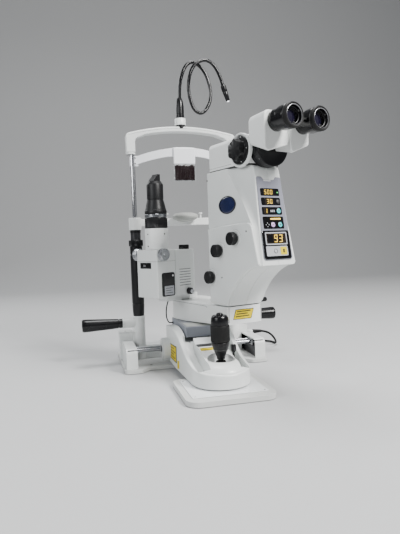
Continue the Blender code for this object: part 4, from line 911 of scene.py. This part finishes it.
def head_controls():
    """The three side knobs with their dials, the screws and the plain oval badge."""
    panel_x = SIDE_X + PANEL_PROUD
    for name, y, z, radius, length, body, node in SIDE_KNOBS:
        lathe(f"{name}_dial_plate", COVER if name == "aiming" else CAST, "laser_head", (
            (0, 1.4), (radius + 2.2, 1.4), (radius + 2.8, 0.8), (radius + 2.8, -0.6), (0, -0.6),
        ), (-panel_x, y, z), "-X")
        made = lathe(f"{name}_turn_knob", BLACK, body, (
            (0, 3.2), (radius - 3, 3.2), (radius - 2.6, 3.7), (radius - 1.3, 5.6), (radius - 0.4, 6.6),
            (radius, 7.4), (radius, 7.6), (radius, length - 1.6), (radius - 0.3, length - 0.9),
            (radius - 1.2, length - 0.2), (radius - 2.4, length - 0.2), (radius - 3, length - 0.9),
            (0, length - 0.9),
        ), (-47, y, z), "-X", 144, ripple=(36, 0.55, 7.5, length - 1.5))
        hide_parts(node)
        ticks = bmesh.new()
        for k in range(11):
            angle = pi * (0.12 + 0.076 * k)
            spot = Matrix.Translation(mm(0, (radius + 4.4) * cos(angle), (radius + 4.4) * sin(angle)))
            bmesh.ops.create_cube(ticks, size=1, matrix=spot @ Matrix.Rotation(angle, 4, "X")
                                  @ Matrix.Diagonal((0.0002, 0.0019, 0.0004, 1)))
        place(f"{name}_scale", mesh_of(f"{name}_scale", ticks), INK, "laser_head", (-panel_x, y, z))
    screws("head_screw", "laser_head", [
        (-SIDE_X - 0.1, -163.5, 433), (-panel_x, -302, 318), (-panel_x, -213, 223),
    ], 1.7, "-X", INK)
    screws("head_screw_right", "laser_head", [
        (SIDE_X + 0.1, -168, 433), (panel_x, -302, 318), (panel_x, -213, 223), (panel_x, -180, 190),
    ], 1.7, "+X", INK)
    at = (-SIDE_X - 0.1, -236.5, 374.6)
    lathe("badge_ring", ANODISED, "laser_head", (
        (18.4, 0), (18.4, 0.9), (17.8, 1.5), (16.9, 1.5), (16.5, 0.9), (16.5, 0),
    ), at, "-X", 96, squeeze=BADGE_STRETCH)
    lathe("badge_dome", BLUE, "laser_head", [
        (16.6 * sin(pi / 2 * k / 10), 0.6 + 1.5 * cos(pi / 2 * k / 10)) for k in range(11)
    ], at, "-X", 96, squeeze=BADGE_STRETCH)


PANEL_LOW_Z = 260
FACE_LEAN = (FACE_TOP_Y - NOSE_Y) / (FACE_TOP_Z - NOSE_Z)
PANEL_FOOT_Y = NOSE_Y + FACE_LEAN * (PANEL_LOW_Z - NOSE_Z)
PANEL_HEIGHT = (FACE_TOP_Z - PANEL_LOW_Z) * (1 + FACE_LEAN**2) ** 0.5
PANEL_TURN = Vector((0, 1)).angle(Vector((FACE_LEAN, 1)))
PANEL_AT = mm(0, PANEL_FOOT_Y - 0.1, PANEL_LOW_Z)
PANEL = LASER @ Matrix.Translation(PANEL_AT) @ Matrix.Rotation(pi / 2 - PANEL_TURN, 4, "X")
FIGURE_SLANT = 0.10
SEGMENTS = {"0": "abcdef", "1": "bc", "3": "abgcd", "5": "afgcd", "9": "abcfgd"}


def tile(name, coat, left, low, right, high, under, over, corner=1.5, ease=0.25):
    """A flat rounded piece on the control panel."""
    outline = rounded(left, low, right, high, corner)
    return plate(name, coat, "laser_head", outline, under, over, ease=ease, frame_of=PANEL)


def digits(name, text, left, low, width, height, gap, level):
    """Lit figures made of seven bars each."""
    bar, top, mid = height * 0.09, low + height, low + height / 2
    gap_in = bar * 0.3
    bm = bmesh.new()
    for k, figure in enumerate(text):
        x0 = left + k * (width + gap)
        x1 = x0 + width
        boxes = {
            "a": (x0, top - bar, x1, top), "g": (x0, mid - bar / 2, x1, mid + bar / 2), "d": (x0, low, x1, low + bar),
            "f": (x0, mid + gap_in, x0 + bar, top - gap_in), "b": (x1 - bar, mid + gap_in, x1, top - gap_in),
            "e": (x0, low + gap_in, x0 + bar, mid - gap_in), "c": (x1 - bar, low + gap_in, x1, mid - gap_in),
        }
        for segment in SEGMENTS[figure]:
            a, b, c, d = boxes[segment]
            slant = FIGURE_SLANT * ((b + d) / 2 - low)
            spot = Matrix.Translation(mm((a + c) / 2 + slant, (b + d) / 2, level))
            bmesh.ops.create_cube(bm, size=1, matrix=spot @ Matrix.Diagonal((*mm(c - a, d - b, 0.3), 1)))
    place(name, mesh_of(name, bm), AMBER, "laser_head", frame_of=PANEL)


def ring_key(name, coat, x, y, radius, level):
    """A round key in a raised ring."""
    lathe(f"{name}_ring", ANODISED, "laser_head", (
        (radius + 0.9, 0), (radius + 0.9, 0.5), (radius + 0.2, 0.7), (radius, 0.3), (radius, 0),
    ), (x, y, level), frame_of=PANEL, steps=40)
    lathe(name, coat, "laser_head", ((0, 0.75), (radius - 1.2, 0.65), (radius - 0.1, 0.3), (radius - 0.1, 0)),
          (x, y, level), frame_of=PANEL, steps=40)


def control_panel():
    """The foil, its display windows with lit figures, and its keys."""
    low_half, top_half, top = 36.5, 30.5, PANEL_HEIGHT
    back = plate("panel_foil", FOIL, "laser_head", fillet([
        (-low_half, 0, 6), (low_half, 0, 6), (top_half, top, 3), (18, top, 1), (13, top - 6, 1),
        (-13, top - 6, 1), (-18, top, 1), (-top_half, top, 3),
    ]), 0, 1.6, "XY", 0.5, frame_of=PANEL)
    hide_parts("control_panel")
    tile("panel_header_rule", PRINT, -13.5, 157.3, 4.5, 158.7, 1.5, 1.75, 0.6, 0)
    face = 2
    for name, left, low, right, high in (
        ("power", -25.5, 127.5, 22, 142.5), ("count", -26, 108.5, 22.5, 124), ("mode", -27, 89.5, 23.5, 105),
        ("setting", -28, 61.5, 24.5, 86),
    ):
        tile(f"panel_window_{name}", WINDOW, left, low, right, high, 1.4, face, 2.6)
    tile("panel_lens_power", SMOKE, -18.5, 129.5, 8.5, 140.5, 1.9, face + 0.15, 0.8, 0.1)
    digits("figures_power", "500", -16, 130.6, 4.6, 8.8, 3, face + 0.25)
    tile("panel_lens_count", SMOKE, -16.5, 110.6, 5, 122, 1.9, face + 0.15, 0.8, 0.1)
    digits("figures_count", "30", -12, 111.8, 4.8, 8.8, 3.2, face + 0.25)
    tile("panel_lens_mode", SMOKE, -22, 91.5, -11, 103, 1.9, face + 0.15, 0.8, 0.1)
    digits("figures_mode", "1", -20.5, 92.6, 5.4, 8.8, 2.4, face + 0.25)
    lathe("panel_led", GREEN, "laser_head", ((0, 1), (1.2, 0.8), (1.8, 0)), (17.6, 134.5, face), steps=24,
          frame_of=PANEL)
    ring_key("count_key", INK, 17, 115.8, 3.9, face)
    ring_key("mode_key", CYAN, 15.2, 97.2, 4.9, face)
    ring_key("setting_down_key", PINK, -3.6, 69.6, 4.9, face)
    ring_key("setting_up_key", CYAN, 14.6, 69.6, 4.9, face)
    tile("setting_bar", AMBER, -9, 79.6, 17.5, 82.8, face - 0.1, face + 0.25, 1.2, 0.1)
    for k, (x, y) in enumerate(((-5.6, 97), (-1.6, 97), (2.4, 97))):
        tile(f"mode_mark_{k + 1}", KEYS, x, y - 2.2, x + 2.2, y + 2.2, face - 0.1, face + 0.12, 0.4, 0)
    for k in range(4):
        angle = pi / 2 * k
        x, y = -17.5 + 3.6 * cos(angle), 69.6 + 3.6 * sin(angle)
        tile(f"setting_mark_{k + 1}", KEYS, x - 0.8, y - 0.8, x + 0.8, y + 0.8, face - 0.1, face + 0.12, 0.3, 0)
    for name, x, y in (("mode", 15.2, 97.2), ("setting_up", 14.6, 69.6), ("setting_down", -3.6, 69.6)):
        tile(f"{name}_key_mark", INK, x - 2.2, y - 0.5, x + 2.2, y + 0.5, face + 0.5, face + 0.85, 0.2, 0)
        if name != "setting_down":
            tile(f"{name}_key_bar", INK, x - 0.5, y - 2.2, x + 0.5, y + 2.2, face + 0.5, face + 0.85, 0.2, 0)
    tile("energy_block_rim", SILVER, -35.6, 0.8, 34, 58.6, 1.3, 2.1, 5)
    tile("energy_block", GLOSS, -34.4, 2, 32.8, 57.4, 1.9, 2.6, 4.4)
    tile("energy_window_rim", KEYS, -28, 29.6, 26.5, 54.6, 2.4, 3, 2)
    tile("energy_window", SMOKE, -25.6, 32, 24, 52.2, 2.8, 3.15, 1.2, 0.1)
    digits("figures_energy", "93", -6.5, 34.8, 7.6, 14.6, 5, 3.25)
    tile("energy_figures_unlit", WINDOW, -22.5, 34.8, -9.5, 49.4, 3, 3.2, 0.8, 0)
    tile("key_row", KEYS, -29, 7.6, 25.2, 27, 2.4, 3.05, 2)
    tile("ready_key", YELLOW, 6.2, 9.6, 22.4, 25.2, 2.9, 3.4, 1.6)
    tile("ready_key_mark", INK, 12, 13.6, 16.6, 20.6, 3.3, 3.5, 0.8, 0)
    ring_key("standby_key", KEYS, -6, 17.2, 3.6, 3)


def microscope():
    """The housing on the laser head, its magnification drum and its front lens."""
    plan = fillet([(-43, -306, 11), (-43, -160.2, 15), (43, -160.2, 15), (43, -306, 11)], 8)
    housing = plate("microscope_housing", CAST, "laser_head", plan, 451.4, 508.8, "XY", 9.5, segments=7)
    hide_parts("top_housing")
    plate("housing_skirt", CAST, "laser_head", plan, 451.4, 460.9, "XY")
    inset = fillet([(-42.6, -304, 11), (-42.6, -160.7, 15), (42.6, -160.7, 15), (42.6, -304, 11)], 8)
    plate("housing_gasket", INK, "laser_head", inset, 448.4, 452, "XY")
    wire("housing_seam", INK, "laser_head", [mm(-43.05, y, 456.5) for y in (-168, -200, -240, -252)], 0.25)
    at = (-43, -284, 479)
    lathe("drum_flange", COVER, "laser_head", (
        (33.6, -4), (33.6, 1.8), (32.8, 2.6), (30.2, 2.6), (29.4, 1.8), (29.2, 0.2), (6.4, 0.2), (6.4, -4),
    ), at, "-X", 96)
    drum = lathe("magnifier_wheel", BLACK, "magnifier_drum", (
        (0, 0.4), (28, 0.4), (28, 3.4), (27.6, 4.2), (26.2, 4.6), (22.4, 5.2), (22.2, 6), (22.2, 15.6),
        (21.2, 16.8), (18.6, 17.2), (0, 17.2),
    ), at, "-X", 144, ripple=(6, 3.4, 5.4, 17), ease=0.3)
    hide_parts("magnification_knob")
    for k in range(5):
        angle = 2 * pi * (k + 0.5) / 5
        lathe(f"magnifier_dot_{k + 1}", PRINT, "magnifier_drum", ((0, 0.3), (1, 0.25), (1, -0.2), (0, -0.2)),
              (at[0] - 4.6, at[1] + 25.2 * cos(angle), at[2] + 25.2 * sin(angle)), "-X", 20)
    lens = lathe("objective_barrel", BLACK, "laser_head", (
        (19.5, -9.8), (19.5, 0), (26, 0.2), (26.5, 0.8), (26.5, 13.7), (26, 14.3), (22.5, 14.3), (21.2, 12.6),
        (20.6, 10.8), (0, 10.8),
    ), (0, -160 + 0.3, 479), "+Y", ripple=(40, 0.3, 1, 13.6), steps=160)
    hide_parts("objective_lens")
    lathe("objective_glass", LENS, "laser_head", [
        (20.4 * sin(pi / 2 * k / 8), 10.9 + 1.4 * cos(pi / 2 * k / 8)) for k in range(9)
    ], (0, -159.7, 479), "+Y")


def binoculars():
    """The round mount, the two prism boxes that turn on it and their eyepieces."""
    base = lathe("binocular_mount", BLACK, "laser_head", (
        (0, 0), (38.6, 0), (39.5, 0.9), (39.5, 8), (38.2, 8.6), (38.2, 9.8), (39.5, 10.4), (39.5, 24.4),
        (38.6, 25.4), (0, 25.4),
    ), (0, -306.4, 482), "-Y", 96)
    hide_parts("binocular_base")
    screws("mount_screw", "laser_head", [
        (38.9 * sin(angle), -326, 482 + 38.9 * cos(angle)) for angle in (2.2, 4)
    ], 1.4, "-Y")
    for side, name, _ in SIDES:
        inner = side * -13.5
        outer = side * (45 if side < 0 else 35)
        low_inner, low_outer = (-10, -26) if side < 0 else (-24, -7)
        face, rear = (fillet([
            (inner + side * 3, low_inner + lift_in, 3), (outer, low_outer + lift_out, 9),
            (outer, 52 - drop, 13), (inner + side * 8.5, 52 - drop, 6), (inner, lift_in, 4),
        ], 7) for lift_in, lift_out, drop in ((0, 0, 0), (10, 20, 3)))
        prism = plate(f"prism_box_{name}", CAST, f"prism_{name}", face, -379.8, -332.8, "XZ", 4.5, segments=5,
                      far=rear)
        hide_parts(f"prism_housing_{name}")
        spot = (side * 17.5, -380.3, 32.5)
        body = f"ocular_{name}"
        tube = lathe(f"ocular_tube_{name}", GLOSS, body, (
            (0, 0), (20, 0), (20, 5.6), (19.2, 6.2), (19.2, 7.8), (20.1, 8.4), (20.1, 19.8), (20.8, 20.6),
            (22.4, 22), (22.5, 23), (22.5, 38.6), (22.1, 39.2), (22.1, 40.4), (22.5, 41), (22.5, 47.8),
            (21.6, 49.2), (20.6, 49.6), (18.4, 49.6), (17.2, 48.4), (16.6, 45.4), (15.4, 43.6), (14.2, 38),
            (13.2, 36), (0, 35.6),
        ), spot, "-Y", 180, ripple=(60, 0.4, 23.4, 38.2))
        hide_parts(f"eyepiece_{name}")
        lathe(f"ocular_rim_{name}", STUD, body, (
            (17.4, 48.8), (17.8, 49.5), (18.2, 49.8), (17.9, 49.9), (17.2, 49.3), (17, 48.6),
        ), spot, "-Y", 72)
        lathe(f"ocular_guard_{name}", RUBBER, body, (
            (22.3, 41.2), (22.8, 41.4), (22.9, 42.2), (22.9, 47.6), (22.3, 48.9), (21, 49.9), (19.6, 49.9),
            (18.5, 49.4), (18.5, 46), (22.3, 46),
        ), spot, "-Y", 80)
        lathe(f"ocular_stop_{name}", ANODISED, body, ((15.5, 43.4), (15.2, 44), (14.2, 43.6), (14, 42.6)),
              spot, "-Y")
        lathe(f"ocular_glass_{name}", LENS, body, [
            (13.4 * sin(pi / 2 * k / 8), 36 + 2.2 * cos(pi / 2 * k / 8)) for k in range(9)
        ], spot, "-Y")


# ---------------------------------------------------------------- lamp arm and tower
def lamp_box():
    """The box on the lamp arm with its plates, vents, slit knobs and dimmer."""
    keep({"illumination_arm": CAST}, ease=0.8)
    front, split, rear = -144, -86.5, -19.2
    house = plate("lamp_box", COVER, "illumination", fillet([
        (-35.6, front, 3), (35.6, front, 3), (35.6, split - 0.4, 0.6), (-35.6, split - 0.4, 0.6),
    ]), 174.2, 284.8, "XY", 1.6)
    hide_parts("lamp_house")
    plate("lamp_box_rear", COVER, "illumination", fillet([
        (-36, split + 0.4, 0.6), (36, split + 0.4, 0.6), (36, rear, 6), (-36, rear, 6),
    ]), 174.2, 284.2, "XY", 1.8)
    seam = fillet([(-35.7, front - 0.1, 3), (35.7, front - 0.1, 3), (35.7, split, 0), (-35.7, split, 0)])
    wire("lamp_box_seam", INK, "illumination", [mm(p[0], p[1], 258.5) for p in seam], 0.25, cyclic=True)
    for side, name, out in SIDES:
        x = side * 35.6
        plate(f"lamp_plate_{name}", GLOSS, "illumination", fillet([
            (-132, 176.5, 5), (-90, 176.5, 5), (-90, 232, 6), (-132, 232, 6),
        ]), x - side * 0.5, x + side * 0.5, "YZ", 0.3)
        plate(f"lamp_plate_label_{name}", KEYS, "illumination", rounded(-124, 179.5, -94, 200.5, 1),
              x + side * 0.4, x + side * 0.7, "YZ")
        for k in range(3):
            z = 184 + 5.4 * k
            plate(f"lamp_plate_rule_{name}_{k + 1}", INK, "illumination",
                  rounded(-121, z, -98 - 5 * (k % 2), z + 1.2, 0), x + side * 0.65, x + side * 0.8, "YZ")
        screws(f"lamp_plate_screw_{name}", "illumination", [(x + side * 0.5, -96.5, 224)], 2.4, out, PRINT)
        for k in range(7):
            z = 198 + 6.4 * k
            plate(f"lamp_vent_{name}_{k + 1}", INK, "illumination", rounded(-74, z, -36, z + 1.3, 0.5, 2),
                  side * 35.5, side * 36.12, "YZ")
        grip = lathe(f"slit_wheel_{name}", SILVER, "slit_control", (
            (3, 0.7), (11.6, 0.7), (13.6, 1.4), (14.4, 2.6), (14.5, 3.2), (14.5, 12.6), (14.2, 13.6),
            (13.2, 14.6), (11.8, 14.9), (11.2, 14.2), (5, 14.2), (4.4, 15.4), (0, 15.4),
        ), (side * 36, -131, 274), out, 192, ripple=(48, 0.55, 3, 12.8))
        if side < 0:
            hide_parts("slit_width_knobs")
        lathe(f"slit_shaft_{name}", STEEL, "slit_control", ((3, -2), (3, 1.2), (0, 1.2)),
              (side * 36, -131, 274), out, 24)
    block("lamp_slot_frame", BLACK, "illumination", (-23.5, -144.5, 242), (14.5, -143.6, 256), 0.5)
    block("lamp_slot", GLOSS, "illumination", (-21, -144.8, 244.4), (12, -144.2, 253.6), 0.3)
    block("lamp_slot_tab", STUD, "illumination", (-12, -145.2, 246.6), (-4, -144.6, 251.2), 0.3)
    dimmer_at = (36, -45, 183)
    dimmer = lathe("dimmer_wheel", BLACK, "dimmer_control", (
        (0, 0.3), (7.6, 0.3), (8, 0.9), (8, 1.4), (8, 9.6), (7.4, 10.4), (5.8, 10.4), (0, 10.4),
    ), dimmer_at, "+X", 120, ripple=(30, 0.4, 1.3, 9.7))
    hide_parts("dimmer_knob")
    lathe("dimmer_tip", SILVER, "dimmer_control", ((0, 13.6), (4.8, 13.6), (5.6, 12.8), (5.6, 10.3), (0, 10.3)),
          dimmer_at, "+X", 48, ease=0.2)
    lathe("lamp_cap", BLACK, "illumination", (
        (0, 295.4), (10.8, 295.4), (12.2, 294.4), (12.6, 292.8), (12.6, 283.6), (0, 283.6),
    ), (14, -34, 0), steps=120, ripple=(30, 0.5, 284.5, 294))


def lamp_tower():
    """The tube over the lamp box with its filter ring and scale, the black head and the mirror on top."""
    tower = (0, -110, 0)
    tube = lathe("tower_tube", CAST, "illumination", (
        (0, 285.2), (26.4, 285.2), (27.5, 286.2), (27.5, 333.8), (27, 335.3), (24, 335.4), (12, 335.4),
        (12, 360.6), (0, 360.6),
    ), tower, steps=96)
    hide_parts("illumination_tube")
    screws("tower_screw", "illumination", [(0, -137.5, 322), (0, -137.5, 294)], 1.7, "-Y", INK)
    screws("tower_screw_side", "illumination", [(27.4, -110, 322)], 1.7, "+X", INK)
    ring = lathe("filter_wheel", BLACK, "filter_control", (
        (12.4, 336), (25.6, 336), (26.6, 336.8), (26.8, 337.8), (26.8, 338.2), (26.8, 358.6), (26.8, 359.2),
        (26.4, 360.2), (25.4, 360.9), (12.4, 360.9),
    ), tower, steps=216, ripple=(54, 0.7, 338.1, 358.8))
    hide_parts("filter_ring")
    lathe("scale_ring", SILVER, "illumination", (
        (20, 361.3), (26, 361.3), (26.4, 361.8), (26.4, 367.8), (26, 368.3), (20, 368.3),
    ), tower, steps=96)
    ticks = bmesh.new()
    for k in range(48):
        angle = 2 * pi * k / 48
        tall = 3.6 if k % 4 == 0 else 2
        spot = Matrix.Rotation(angle, 4, "Z") @ Matrix.Translation(mm(26.45, 0, 362.6 + tall / 2))
        bmesh.ops.create_cube(ticks, size=1, matrix=spot @ Matrix.Diagonal((*mm(0.15, 0.45, tall), 1)))
    place("scale_ticks", mesh_of("scale_ticks", ticks), INK, "illumination", tower)
    head = lathe("tower_head", ANODISED, "illumination", (
        (0, 368.4), (24.6, 368.4), (26, 369.2), (26.2, 371.6), (26.2, 376.4), (25.4, 378.4), (24.8, 379),
        (24.8, 380.2), (24.2, 381.6), (22, 391.6), (20.2, 398.6), (19.6, 401.6), (18.9, 402.2), (18.9, 403.8),
        (19.6, 404.4), (19.6, 437.4), (19, 439.6), (17.6, 441.4), (15.2, 446), (0, 446),
    ), tower, steps=96)
    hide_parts("illumination_head")
    lathe("tower_dot", PRINT, "illumination", ((0, 0.25), (1.3, 0.2), (1.3, -0.3), (0, -0.3)),
          (-19.6, -112, 420), "-X", 20)
    screws("tower_head_screw", "illumination", [(0, -129.6, 412), (0, -129.6, 430)], 1.5, "-Y", GLOSS)
    tip = plate("mirror_block", ANODISED, "illumination", (
        (-122.4, 446.4), (-100.2, 446.4), (-100.2, 462.8), (-108.2, 462.8),
    ), -8.9, 8.9, "YZ", 0.6)
    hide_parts("mirror_head")
    plate("mirror_glass", MIRROR, "illumination", (
        (-100.3, 448.6), (-99.9, 448.6), (-99.9, 461), (-100.3, 461),
    ), -7.4, 7.4, "YZ")


# ---------------------------------------------------------------- studio
FLOOR_Z, FLOOR_FRONT, FLOOR_BACK, FLOOR_HALF_WIDTH = -0.0012, -4.0, 2.2, 6.0
SWEEP_RADIUS, WALL_TOP = 1.6, 5.0
LIT_SPOT = Vector((0, -0.05, 0.3))
LAMPS = (
    ("key", (1.4, -1.9, 2.1), 0.9, 165.0, (1.0, 0.99, 0.97)),
    ("fill", (-2.2, -1.3, 1.3), 1.4, 38.0, (0.97, 0.99, 1.0)),
    ("top", (0.1, 0.1, 2.6), 1.1, 60.0, (1.0, 1.0, 1.0)),
    ("rim", (-1.3, 1.7, 1.5), 1.0, 18.0, (0.97, 0.99, 1.0)),
)


def studio():
    """A paper floor that sweeps up into a wall, four lamps and a faint even light."""
    sweep = bmesh.new()
    arc = [pi / 2 * k / 16 for k in range(1, 17)]
    profile = [(FLOOR_FRONT, FLOOR_Z), (FLOOR_BACK, FLOOR_Z)]
    profile += [(FLOOR_BACK + SWEEP_RADIUS * sin(a), SWEEP_RADIUS - SWEEP_RADIUS * cos(a) + FLOOR_Z) for a in arc]
    profile += [(FLOOR_BACK + SWEEP_RADIUS, WALL_TOP)]
    rows = [[sweep.verts.new((x, y, z)) for x in (-FLOOR_HALF_WIDTH, FLOOR_HALF_WIDTH)] for y, z in profile]
    skin(sweep, rows, around=False, capped=False)
    mesh = bpy.data.meshes.new("studio_floor")
    sweep.to_mesh(mesh)
    sweep.free()
    mesh.shade_smooth()
    paper = finish("studio_paper", (0.46, 0.465, 0.47), 0.75, mottle=0.015, grain=60, bump=0.02)
    mesh.materials.append(paper)
    floor = bpy.data.objects.new("studio_floor", mesh)
    bpy.context.scene.collection.objects.link(floor)
    for name, at, size, power, warmth in LAMPS:
        lamp = bpy.data.lights.new(name, "AREA")
        lamp.shape, lamp.size, lamp.energy, lamp.color = "DISK", size, power, warmth
        made = bpy.data.objects.new(name, lamp)
        made.location = at
        made.rotation_mode = "QUATERNION"
        made.rotation_quaternion = (LIT_SPOT - Vector(at)).to_track_quat("-Z", "Y")
        bpy.context.scene.collection.objects.link(made)
    world = bpy.data.worlds.new("studio_air")
    world.use_nodes = True
    air = world.node_tree.nodes["Background"]
    air.inputs["Color"].default_value = (0.90, 0.93, 0.97, 1.0)
    air.inputs["Strength"].default_value = 0.20
    bpy.context.scene.world = world


base()
carriage()
lift()
joystick()
head_arch()
forehead_band()
columns()
card()
chin_cup()
fixation_lamp()
laser_arm()
for half, half_name, _ in SIDES:
    head_half(half, half_name)
head_controls()
control_panel()
microscope()
binoculars()
lamp_box()
lamp_tower()
studio()
